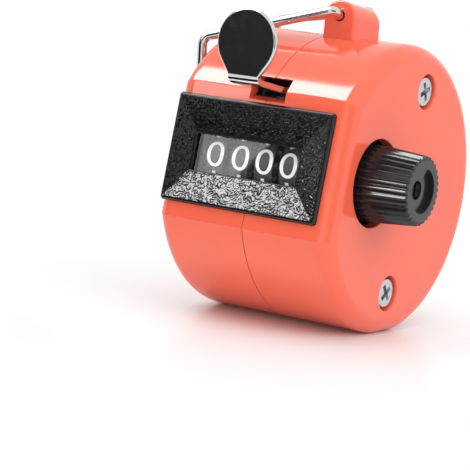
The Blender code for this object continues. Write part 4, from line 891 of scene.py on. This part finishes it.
slope_faces = [f.index for f in frame_obj.data.polygons if slanted(f.center, f.normal)]
grain("CLOUDS", 0.45 * MM, 0.05 * MM, noise_depth=1)
grain("VORONOI", 0.5 * MM, 0.04 * MM)
hand_over(
    lean(frame_obj), "grained_window_bezel", "case", "black_bezel_plastic", smooth_black,
    "window_bezel", angle=50.0,
)
frame_obj.data.materials.append(grain_black)
for index in slope_faces:
    frame_obj.data.polygons[index].material_index = 1
print(f"{len(slope_faces)} faces grained")

# %% [markdown]
# ## Lens
# The lens is a clear acrylic pane behind the frame's ledge. A small bevel on its edges catches
# light. It casts no shadow, because Cycles would otherwise keep the lamps' light off the wheels
# behind it.

# %% Lens
PANE_FRONT = 17.85 * MM
PANE_PLAY = 0.1 * MM
PANE_EDGE = 0.08 * MM


def pane():
    """The pane, a little smaller than its seat."""
    left, right, bottom, top = grown(SEAT, -PANE_PLAY)
    obj = block((left, -PANE_FRONT, bottom), (right, -SEAT_BACK, top))
    bevel(obj, lambda e: True, PANE_EDGE, 2)
    return obj


lens = lean(pane())
lens.visible_shadow = False
hand_over(
    lens, "clear_window_pane", "case", "clear_lens_plastic", clear_pane,
    "window_lens", angle=10.0,
)

# %% [markdown]
# ## Numerals
# The numerals are pad-printed on the wheels' rims, ten to a wheel. Each starts as a text object in
# Blender's own font, drawn to the photograph's height and width, and becomes a mesh. Level cuts
# let it follow the rim, and each of its points is then moved onto the cylinder. One turn of a
# wheel by a tenth brings up the next numeral from below.

# %% Numerals
WHEEL_RADIUS = 7.0 * MM
WHEEL_NAMES = ("thousands", "hundreds", "tens", "units")
WHEEL_CENTRES = [(-8.755 + 4.39 * i) * MM for i in range(4)]
PRINT_SHIFTS = (0.1 * MM, 0.18 * MM, 0, -0.18 * MM)
NUMERAL_HEIGHT = 3.8 * MM
NUMERAL_WIDTH = 2.95 * MM
INK = 0.02 * MM
FONT_SIZE = 10 * MM
THINNER = -0.05 * MM
LEVEL_STEP = 0.25 * MM
ONE_DIGIT = radians(36)
READING_ANGLE = radians(169.1)


def flat_numeral(text):
    """One numeral as a flat mesh in the XZ plane."""
    obj = add(bpy.ops.object.text_add, rotation=(pi / 2, 0, 0))
    obj.data.body = text
    obj.data.size = FONT_SIZE
    obj.data.offset = THINNER
    obj.data.resolution_u = 8
    pick(obj)
    bpy.ops.object.convert(target="MESH")
    return settle(obj)


def fit_numeral(obj, scale_x, scale_z):
    """Centres a numeral, sizes it and cuts it level at every step."""
    xs = [v.co.x for v in obj.data.vertices]
    zs = [v.co.z for v in obj.data.vertices]
    obj.location = (-(min(xs) + max(xs)) / 2, 0, -(min(zs) + max(zs)) / 2)
    settle(obj)
    obj.scale = (scale_x, 1, scale_z)
    settle(obj)
    level = -NUMERAL_HEIGHT / 2
    while level < NUMERAL_HEIGHT / 2:
        edit(obj)
        bpy.ops.mesh.bisect(plane_co=(0, 0, level), plane_no=(0, 0, 1), threshold=SAME)
        done()
        level += LEVEL_STEP
    return obj


def wrap(obj, numeral, centre_x):
    """Moves a flat numeral's points onto the wheel's rim."""
    start = READING_ANGLE + ONE_DIGIT * numeral
    for vertex in obj.data.vertices:
        turn = start - vertex.co.z / WHEEL_RADIUS
        radius = WHEEL_RADIUS + INK / 2
        vertex.co = (
            vertex.co.x + centre_x,
            SHAFT.y + radius * cos(turn),
            SHAFT.z + radius * sin(turn),
        )


def copy_of(obj):
    """A copy of an object, with a mesh of its own."""
    new = obj.copy()
    new.data = obj.data.copy()
    bpy.context.scene.collection.objects.link(new)
    return new


zero = flat_numeral("0")
scale_x = NUMERAL_WIDTH / zero.dimensions.x
scale_z = NUMERAL_HEIGHT / zero.dimensions.z
flats = [fit_numeral(zero, scale_x, scale_z)]
flats += [fit_numeral(flat_numeral(str(i)), scale_x, scale_z) for i in range(1, 10)]
for name, centre_x, shift in zip(WHEEL_NAMES, WHEEL_CENTRES, PRINT_SHIFTS):
    copies = []
    for numeral, flat in enumerate(flats):
        obj = copy_of(flat)
        wrap(obj, numeral, centre_x + shift)
        copies.append(obj)
    clear_selection()
    for obj in copies:
        obj.select_set(True)
    bpy.context.view_layer.objects.active = copies[0]
    bpy.ops.object.join()
    printed = bpy.context.object
    edit(printed)
    bpy.ops.mesh.remove_doubles(threshold=SAME)
    done()
    modify(printed, "SOLIDIFY", thickness=INK, offset=0.0)
    outward(printed)
    hand_over(printed, f"{name}_numerals", f"{name}_wheel", "white_gear_plastic", ink_white)
for flat in flats:
    bpy.data.objects.remove(flat, do_unlink=True)

# %% [markdown]
# ## Thumb lever
# The lever is a strip of steel that is bent up at its front and ends in a pad, then chromed. Its
# outline is drawn from the side and filled, and one extrude gives it its width. The pad is drawn
# from the front: a circle, with straight sides that run down to the strip's width, as on a
# teardrop. The edges get small bevels, because the bright lines on chrome come from such edges.

# %% Thumb lever
LEVER_X = 0.3 * MM
HALF_STRIP = 2.6 * MM
STRIP = 0.9 * MM
STRIP_EDGE = 0.12 * MM
BEND = 1.5 * MM
LEVER_FRONT = PIVOT.y - 12.3 * MM
PAD_HEIGHT = PIVOT.z + 7.3 * MM
PAD_FOOT = PIVOT.z + 4.4 * MM
TONGUE_RISE = radians(8.5)
PAD_RADIUS = 4.95 * MM
PAD_DROP = 4.9 * MM
PAD_EDGE = 0.32 * MM
SLEEVE = (-8.0 * MM, 8.1 * MM)
SLEEVE_RADIUS = 1.2 * MM
PIVOT_BORE = 0.66 * MM


def strip_outline():
    """The bent strip from the side, in (y, z)."""
    along = Vector((-cos(TONGUE_RISE), sin(TONGUE_RISE)))
    upright = Vector((sin(TONGUE_RISE), cos(TONGUE_RISE)))
    low = Vector((PIVOT.y, PIVOT.z)) - upright * STRIP / 2
    travel = (LEVER_FRONT + BEND - low.x - upright.x * BEND) / along.x
    centre = low + along * travel + upright * BEND
    start = -pi / 2 - TONGUE_RISE
    outer = arc(centre.x, centre.y, BEND, start, -pi, 16)
    inner = arc(centre.x, centre.y, BEND - STRIP, -pi, start, 16)
    ends = [(LEVER_FRONT, PAD_FOOT), (LEVER_FRONT + STRIP, PAD_FOOT)]
    return [tuple(low)] + outer + ends + inner + [tuple(low + upright * STRIP)]


def sharp_edge(edge):
    """An edge between two faces that meet at 60 degrees or more."""
    return len(edge.link_faces) == 2 and edge.calc_face_angle() > radians(60)


lever = plate_x(strip_outline(), LEVER_X - HALF_STRIP, LEVER_X + HALF_STRIP)
bevel(lever, sharp_edge, STRIP_EDGE, 2, clamp=True)


def pad_outline():
    """The round pad from the front, in (x, z), with straight sides down to the strip's width."""
    reach = (HALF_STRIP ** 2 + PAD_DROP ** 2) ** 0.5
    off = atan2(HALF_STRIP, PAD_DROP) + acos(PAD_RADIUS / reach)
    round_part = arc(LEVER_X, PAD_HEIGHT, PAD_RADIUS, -pi / 2 + off, 3 * pi / 2 - off, 72)
    foot = PAD_HEIGHT - PAD_DROP
    return round_part + [(LEVER_X - HALF_STRIP, foot), (LEVER_X + HALF_STRIP, foot)]


pad = plate([(x, LEVER_FRONT, z) for x, z in pad_outline()], (0, STRIP, 0))
bevel(pad, lambda e: across(e, 1), PAD_EDGE, 4, clamp=True)
combine(lever, "UNION", pad, bar(*SLEEVE, SLEEVE_RADIUS, PIVOT))
print(f"lever reaches y {LEVER_FRONT / MM:.1f} mm")

# %% [markdown]
# The arm inside the counter hangs from the sleeve and carries the drive pawl. It is a plain plate
# with a round head, and a small rod on it stops the pawl.

# %% Arm of the lever
ARM_LOW, ARM_HIGH = 7.3 * MM, 8.1 * MM
STOP = (6.15 * MM, 7.7 * MM)
STOP_RADIUS = 0.35 * MM
STOP_DOWN, STOP_ASIDE = 1.36, 1.45  # millimetres from the pawl's pin
PAWL_HOLE, PAWL_BORE = (7 * MM, 8.5 * MM), 0.51 * MM
PAWL_PIN = Vector((0, -11.077, 8.228)) * MM
DOWN_ARM = (SHAFT - PIVOT).normalized()


def arm_outline():
    """A round head about the pivot, widening to a square foot."""
    boss, reach, width = 1.4 * MM, 7.07 * MM, 3.6 * MM
    angle = atan2(DOWN_ARM.z, DOWN_ARM.y)
    spread = acos((boss - width / 2) / reach)
    points = arc(PIVOT.y, PIVOT.z, boss, angle + spread, angle - spread + 2 * pi, 32)
    foot = PIVOT + DOWN_ARM * reach
    side = Vector((0, -DOWN_ARM.z, DOWN_ARM.y)) * width / 2
    for place in (foot - side, foot + side):
        points.append((place.y, place.z))
    return points


combine(lever, "UNION", plate_x(arm_outline(), ARM_LOW, ARM_HIGH))
aside = Vector((0, DOWN_ARM.z, -DOWN_ARM.y))
stop = PAWL_PIN + DOWN_ARM * STOP_DOWN * MM + aside * STOP_ASIDE * MM
combine(lever, "UNION", bar(*STOP, STOP_RADIUS, stop, 16))
combine(
    lever, "DIFFERENCE",
    bar(SLEEVE[0] - OVERRUN, SLEEVE[1] + OVERRUN, PIVOT_BORE, PIVOT, 32),
    bar(*PAWL_HOLE, PAWL_BORE, PAWL_PIN, 32),
)
hand_over(
    lever, "chromed_thumb_lever", "lever", "chromed_steel", chrome, "thumb_lever", angle=35.0,
)

# %% [markdown]
# ## Finger ring
# The ring is one length of wire bent in a former. The path is drawn from point to point, turned
# into a curve and given a round section, and the wire's cut ends are rolled over. Its two ends
# plug into the lug from the front and the back, and its back corner stands 3.2 mm higher than its
# front one, as in the photograph.

# %% Finger ring
WIRE = 0.75 * MM
LEAN = radians(-3.0)
# The wire's corners, in millimetres from the ring's place. BENDS has each bend's radius and steps.
PLUG = 1.4
MOUTH = 4.15
LEAVE = 5.6
CORNER_OUT, CORNER_SIDE, CORNER_DROP = 19.9, 10.5, 5.5
LEG = 4.6
BENDS = ((1.2, 6), (1.0, 10), (1.5, 12))
FRONT_RISE, FRONT_LIFT = 0.75, 0.0
BACK_RISE, BACK_LIFT = 0.9, 3.2
DOWN = Vector((-sin(LEAN), 0, -cos(LEAN)))


def rounded_corner(before, corner, after, radius, steps):
    """Points of a bend between two straight lengths."""
    first = (before - corner).normalized()
    second = (after - corner).normalized()
    half = first.angle(second) / 2
    start = corner + first * radius / tan(half)
    centre = corner + (first + second).normalized() * radius / sin(half)
    end = corner + second * radius / tan(half)
    from_centre, to_centre = start - centre, end - centre
    turn = from_centre.angle(to_centre)
    points = []
    for i in range(steps + 1):
        share = i / steps
        a = from_centre * sin((1 - share) * turn) / sin(turn)
        b = to_centre * sin(share * turn) / sin(turn)
        points.append(centre + a + b)
    return points


def half_ring(side, rise, lift):
    """Centre line from inside the lug to the loop. side is -1 in front and 1 at the back.

    rise is how far the wire climbs as it leaves the lug, and lift is how high its corner stands.
    """
    plug = Vector((0, side * PLUG, 0)) * MM
    mouth = Vector((0, side * MOUTH, 0)) * MM
    leave = Vector((0, side * LEAVE, rise)) * MM
    corner = Vector((-CORNER_OUT, side * CORNER_SIDE, lift - CORNER_DROP)) * MM
    loop_start = corner + DOWN * LEG * MM
    path = (plug, mouth, leave, corner, loop_start)
    points = [plug]
    for i, (radius, steps) in enumerate(BENDS):
        points += rounded_corner(*path[i:i + 3], radius * MM, steps)
    return points, loop_start


def ring_path():
    """The wire's centre line from its front end in the lug, round to its back end."""
    front, start = half_ring(-1, FRONT_RISE, FRONT_LIFT)
    back, end = half_ring(1, BACK_RISE, BACK_LIFT)
    centre, half = (start + end) / 2, (end - start) / 2
    loop = [
        centre - half * cos(pi * i / 64) + DOWN * (half.length * sin(pi * i / 64))
        for i in range(65)
    ]
    return [RING_PLACE + p for p in front + loop + back[::-1]]


def wire(points, radius):
    """A round wire along a path, with rolled ends."""
    obj = draw_line(points)
    pick(obj)
    bpy.ops.object.convert(target="CURVE")
    obj.data.bevel_depth = radius
    obj.data.bevel_resolution = 6
    obj.data.use_fill_caps = True
    bpy.ops.object.convert(target="MESH")
    outward(obj)
    bevel(obj, lambda e: any(len(f.verts) > 8 for f in e.link_faces), radius / 2, 4)
    return obj


ring = wire(ring_path(), WIRE)
hand_over(
    ring, "bent_wire_ring", "finger_ring", "chromed_steel", chrome, "finger_ring", angle=60.0,
)

# %% [markdown]
# ## Reset knob
# The knob is a moulded cup. Its cylinder has eight points to each of the thirty flutes, and rows
# of them are scaled in toward the axis to round the grooves. The end is then extruded and drawn in
# three times, for the taper and the softened edge, and Boolean cuts make the hollow, the crescent
# and the screw's hole.

# %% Reset knob
KNOB_RADIUS = 5.75 * MM
KNOB_START = 11.0 * MM
TAPER_START = 15.2 * MM
KNOB_END = 23.0 * MM
FLUTES = 30
FLUTE_DEPTH = 0.45 * MM
HOLLOW = 4.1 * MM
SHAFT_BORE = 1.06 * MM
HEAD_SEAT = 1.4 * MM
KNOB_SCREW_BORE = 0.56 * MM
CRESCENT_DEPTH = 0.8 * MM
CRESCENT_OUTER, CRESCENT_INNER = 3.3 * MM, 2.1 * MM
KNOB_SCREW = SHAFT + Vector((0, -2.06, 0.25)) * MM


def flute_number(vertex):
    """Which of its flute's eight points a point is, from 0 on the ridge to 4 in the groove."""
    turn = atan2(vertex.co.z - SHAFT.z, vertex.co.y - SHAFT.y) / (2 * pi)
    place = round(turn * FLUTES * 8) % 8
    return min(place, 8 - place)


def draw_in(obj, low, scale, travel):
    """Extrudes the end face along X and scales it about the shaft."""
    choose(obj, "FACE", lambda f: f.normal.x > FACING and f.calc_center_median().x > low)
    extrude((travel, 0, 0))
    bpy.ops.transform.resize(value=(1, scale, scale), center_override=tuple(SHAFT))
    done()


knob = bar(KNOB_START, TAPER_START, KNOB_RADIUS, SHAFT, FLUTES * 8)
for number in range(1, 5):
    share = (1 - cos(pi * number / 4)) / 2
    scale = 1 - share * FLUTE_DEPTH / KNOB_RADIUS
    choose(knob, "VERT", lambda v: flute_number(v) == number)
    bpy.ops.transform.resize(value=(1, scale, scale), center_override=tuple(SHAFT))
    done()
# Past which place each step starts, how much it narrows the end and how far it goes, in mm.
for low, scale, travel in (
    (15.0, 5.15 / 5.75, 7.5), (22.0, 1 - 0.12 / 5.15, 0.18), (22.5, 1 - 0.3 / 5.0, 0.12),
):
    draw_in(knob, low * MM, scale, travel * MM)
print(f"knob end at {max(v.co.x for v in knob.data.vertices) / MM:.2f} mm")


def crescent():
    """The recess between an arc about the knob's axis and one about the screw."""
    outer = arc(SHAFT.y, SHAFT.z, CRESCENT_OUTER, radians(-137), radians(80), 48)
    ends = [atan2(z - KNOB_SCREW.z, y - KNOB_SCREW.y) for y, z in (outer[-1], outer[0])]
    inner = arc(KNOB_SCREW.y, KNOB_SCREW.z, CRESCENT_INNER, ends[0], ends[1], 32)
    return plate_x(outer + inner, KNOB_END - CRESCENT_DEPTH, KNOB_END + OVERRUN)


combine(
    knob, "DIFFERENCE",
    bar(KNOB_START - OVERRUN, 18.2 * MM, HOLLOW, SHAFT, 96),
    bar(17 * MM, 19.2 * MM, SHAFT_BORE, SHAFT, 48),
    crescent(),
    bar(21.1 * MM, KNOB_END + OVERRUN, HEAD_SEAT, KNOB_SCREW, 64),
    bar(17 * MM, 21.6 * MM, KNOB_SCREW_BORE, KNOB_SCREW, 32),
)
hand_over(knob, "fluted_reset_knob", "reset_shaft", "black_knob_plastic", knob_black, "reset_knob")

# %% [markdown]
# ## Screws
# Each screw is a profile spun round its axis, with a rolled edge on the head. The cross recess is
# a cross-shaped cutter whose far end is drawn in, because a real driver's blade tapers.

# %% Screws
BLADE_TAPER = 0.55
HEAD_EDGE = 0.3 * MM


def cross_cutter(low, high, reach, width, centre, turn):
    """A cross drawn along X that narrows toward low."""
    half = width / 2
    outline = [
        (-half, -reach), (half, -reach), (half, -half), (reach, -half),
        (reach, half), (half, half), (half, reach), (-half, reach),
        (-half, half), (-reach, half), (-reach, -half), (-half, -half),
    ]
    obj = plate_x(outline, low, high)
    choose(obj, "VERT", lambda v: v.co.x < low + MARGIN)
    bpy.ops.transform.resize(value=(1, BLADE_TAPER, BLADE_TAPER), center_override=(0, 0, 0))
    done()
    obj.rotation_euler.x = turn
    obj.location = (0, centre.y, centre.z)
    return settle(obj)


def head_profile(under, top, radius, shank, tip):
    """A screw's profile from its tip to the middle of its slightly domed head."""
    edge = min(HEAD_EDGE, (top - under) / 3)
    rolled = [
        (top - edge + edge * sin(a), radius - edge + edge * cos(a))
        for a in (radians(15 * i) for i in range(7))
    ]
    dome = [(top, radius * 0.5), (top, 0.0)]
    point = [(tip, 0.0), (tip, shank * 0.6), (tip + shank * 0.5, shank), (under, shank)]
    return point + [(under, radius)] + rolled + dome


for label, place, turn in (("upper", UPPER_SCREW, 20), ("lower", LOWER_SCREW, 35)):
    profile = head_profile(
        under=13.75 * MM, top=14.85 * MM, radius=2.25 * MM, shank=1.2 * MM, tip=-9.0 * MM,
    )
    screw = turned(profile, place, 64)
    combine(screw, "DIFFERENCE", cross_cutter(
        low=13.95 * MM, high=15.75 * MM, reach=1.9 * MM, width=0.95 * MM,
        centre=place, turn=radians(turn),
    ))
    hand_over(
        screw, f"cross_head_screw_{label}", "case", "zinc_plated_screw", zinc,
        f"case_screw_{label}",
    )
profile = head_profile(
    under=21.16 * MM, top=22.06 * MM, radius=1.2 * MM, shank=0.5 * MM, tip=17.0 * MM,
)
screw = turned(profile, KNOB_SCREW, 48)
combine(screw, "DIFFERENCE", cross_cutter(
    low=21.5 * MM, high=22.9 * MM, reach=0.9 * MM, width=0.42 * MM, centre=KNOB_SCREW, turn=0.4,
))
hand_over(screw, "knob_cross_head_screw", "reset_shaft", "zinc_plated_screw", zinc, "knob_screw")

# %% [markdown]
# ## The pieces inside
# The wheels, pinions, pawls, springs, pins and frame keep the solids' own shapes. Each group gets
# the finish of what it is made from.

# %% Finishes of the pieces inside
FINISHES = (
    (wheel_black, [f"{name}_wheel" for name in WHEEL_NAMES]),
    (acetal_white, ["tens_pinion", "hundreds_pinion", "thousands_pinion"]),
    (brass, ["left_bush", "right_bush"]),
    (spring_steel, [
        "lever_return_spring", "drive_pawl_spring", "holding_pawl_spring", "shaft_clip",
        "pinion_shaft_clip", "pivot_pin_clip",
    ]),
    (plain_steel, [
        "mechanism_frame", "main_shaft", "pinion_shaft", "lever_pivot_pin", "drive_pawl",
        "drive_pawl_pin", "holding_pawl", "holding_pawl_pin", "ratchet_wheel",
    ] + [f"{name}_reset_pawl" for name in WHEEL_NAMES]),
)
dressed = 0
for material, names in FINISHES:
    for name in names:
        nodes[name].data.materials.clear()
        nodes[name].data.materials.append(material)
        dressed += 1
print(f"{dressed} pieces keep the solids' shapes")

# %% [markdown]
# ## Camera
# The photograph was taken from the counter's right, a little above it and rolled by some degrees.
# The position and the three directions come from the corners of the window frame and the screws,
# whose sizes are known. A long lens flattens the picture, as in the photograph.

# %% Camera
CAMERA_PLACE = Vector((158.4, -272.3, 55.1)) * MM
CAMERA_RIGHT = Vector((0.833, 0.544, 0.099)).normalized()
CAMERA_BACK = Vector((0.530, -0.837, 0.137)).normalized()


def aim(obj, place, right, back):
    """Places an object so that it looks along -back with right on its right-hand side."""
    right = (right - back * right.dot(back)).normalized()
    up = back.cross(right)
    matrix = Matrix((right, up, back)).transposed().to_4x4()
    matrix.translation = place
    obj.matrix_world = matrix


camera = add(bpy.ops.object.camera_add)
camera.data.sensor_width = 36
camera.data.lens = 157.0
camera.data.clip_start = 0.01
camera.data.clip_end = 5
aim(camera, CAMERA_PLACE, CAMERA_RIGHT, CAMERA_BACK)
bpy.context.scene.camera = camera
print(f"camera {(camera.location - Vector((0, 0, AXIS_HEIGHT))).length / MM:.0f} mm away")

# %% [markdown]
# ## Floor
# The counter stands on a white sweep. Near it the floor is a lit surface that takes its shadow,
# and further away it fades to plain white, which the drum's discs and the chrome also mirror. The
# floor is a little glossy, so the red of the drum shows in it beside the shadow.

# %% Floor
LIT_UNTIL = 15 * MM
WHITE_FROM = 62 * MM


def white_floor():
    """A big disc with a lit middle and a plain white surround."""
    obj = add(bpy.ops.mesh.primitive_circle_add, vertices=96, radius=1.5, fill_type="NGON")
    obj.name = "floor"
    material, tree, shader = finish("floor_white", "#ECECEC", 0.3)
    place = node(tree, "ShaderNodeTexCoord")
    far = node(tree, "ShaderNodeVectorMath", [(0, place.outputs["Object"])], operation="LENGTH")
    share = node(
        tree, "ShaderNodeMapRange",
        [("Value", far.outputs["Value"]), ("From Min", LIT_UNTIL), ("From Max", WHITE_FROM)],
    )
    glow = node(tree, "ShaderNodeEmission", [("Color", (1, 1, 1, 1)), ("Strength", 1.0)])
    mix = node(
        tree, "ShaderNodeMixShader",
        [(0, share.outputs["Result"]), (1, shader.outputs[0]), (2, glow.outputs[0])],
    )
    output = next(n for n in tree.nodes if n.type == "OUTPUT_MATERIAL")
    tree.links.new(mix.outputs[0], output.inputs["Surface"])
    obj.data.materials.append(material)
    return obj


floor = white_floor()
print("floor 3 m across")

# %% [markdown]
# ## Light
# A softbox high on the left is there to be mirrored: it makes the pale reflection on the drum's
# shoulder and brightens the window frame's lower slope. A top light and two fills add soft light
# and aren't mirrored, so that they put no second highlight on the case. The cards in front are
# there for the reflections alone. Three black flags keep the frame, the knob and the lever's pad
# dark, as a photographer's flags do. One white card lays the slanted veil on the lens, and another
# brightens the drum's shoulder.

# %% Softbox and fill lamps
CENTRE = Vector((0, -5, 22)) * MM


def spot(direction, distance):
    """A place in that direction from the counter's middle, at that distance in metres."""
    return CENTRE + Vector(direction).normalized() * distance


def area_lamp(name, direction, distance, size, power, mirrored):
    """A rectangular area lamp that looks at the counter, its long side along X."""
    lamp = add(bpy.ops.object.light_add, type="AREA")
    lamp.name = name
    lamp.data.shape = "RECTANGLE"
    lamp.data.size, lamp.data.size_y = size
    lamp.data.energy = power
    lamp.visible_glossy = mirrored
    aim(lamp, spot(direction, distance), Vector((1, 0, 0)), Vector(direction).normalized())
    return lamp


# Name, direction, distance and size in metres, power in watts, and whether it is mirrored.
softbox, *fills = [area_lamp(*row) for row in (
    ("softbox", (-0.50, -0.34, 0.78), 0.45, (0.36, 0.25), 3.8, True),
    ("top light", (0.0, -0.2, 1.0), 0.5, (0.5, 0.5), 0.8, False),
    ("front fill", (0.1, -1.0, 0.05), 0.6, (0.6, 0.1), 0.9, False),
    ("side fill", (1.0, -0.25, 0.6), 0.6, (0.4, 0.4), 1.5, False),
)]
softbox.visible_diffuse = False
print(f"softbox and {len(fills)} lamps that aren't mirrored")

# %% Flags and cards
CARD_THICKNESS = 0.1 * MM


def card(name, direction, distance, outline, glow):
    """A card that only reflections see. outline is in millimetres to its right and up."""
    obj = plate([(x * MM, y * MM, 0) for x, y in outline], (0, 0, CARD_THICKNESS))
    obj.name = name
    back = Vector(direction).normalized()
    aim(obj, spot(direction, distance), Vector((-back.y, back.x, 0)), back)
    cloth, tree, shader = finish(f"{name} cloth", "#000000", 1.0, Emission_Strength=glow)
    shader.inputs["Emission Color"].default_value = (1, 1, 1, 1)
    shader.inputs["Specular IOR Level"].default_value = 0.0
    obj.data.materials.append(cloth)
    obj.visible_camera = False
    obj.visible_diffuse = False
    obj.visible_shadow = False
    return obj


def oblong(w, h):
    """The outline of a card with square corners, from its half width and half height."""
    return [(-w, -h), (w, -h), (w, h), (-w, h)]


LEFT = (-0.53, -0.84, 0.15)
VEIL = [(-12, 1), (-0.4, 1), (8.4, 16.5), (-12, 16.5)]
BAND = [(-20, 20.2), (5, 21.5), (12, 70), (-30, 70)]
# Name, direction, distance in metres, outline and glow.
cards = [card(*row) for row in (
    ("left flag", LEFT, 0.2, oblong(110, 70), 0.025),
    ("right flag", (0.8, -0.6, 0.12), 0.3, oblong(110, 100), 0.02),
    ("low flag", (-17, -33, -9), 0.038, oblong(24, 8), 0.02),
    ("lens card", LEFT, 0.198, VEIL, 2.2),
    ("shoulder card", LEFT, 0.198, BAND, 5.0),
)]
print(f"{len(cards)} cards")

# %% World
AMBIENT = 0.9
world = bpy.data.worlds.new("studio")
bpy.context.scene.world = world
world.use_nodes = True
tree = world.node_tree
tree.nodes.clear()
rays = node(tree, "ShaderNodeLightPath")
white_rays = rays.outputs["Is Camera Ray"]
for kind in ("Glossy", "Transmission"):
    either = node(
        tree, "ShaderNodeMath",
        [(0, white_rays), (1, rays.outputs[f"Is {kind} Ray"])], operation="MAXIMUM",
    )
    white_rays = either.outputs[0]
strength = node(
    tree, "ShaderNodeMapRange",
    [("Value", white_rays), ("To Min", AMBIENT), ("To Max", 1.0)],
)
shade = node(
    tree, "ShaderNodeBackground",
    [("Color", (1, 1, 1, 1)), ("Strength", strength.outputs["Result"])],
)
node(tree, "ShaderNodeOutputWorld", [("Surface", shade.outputs[0])])
bpy.context.scene.view_settings.view_transform = "Standard"

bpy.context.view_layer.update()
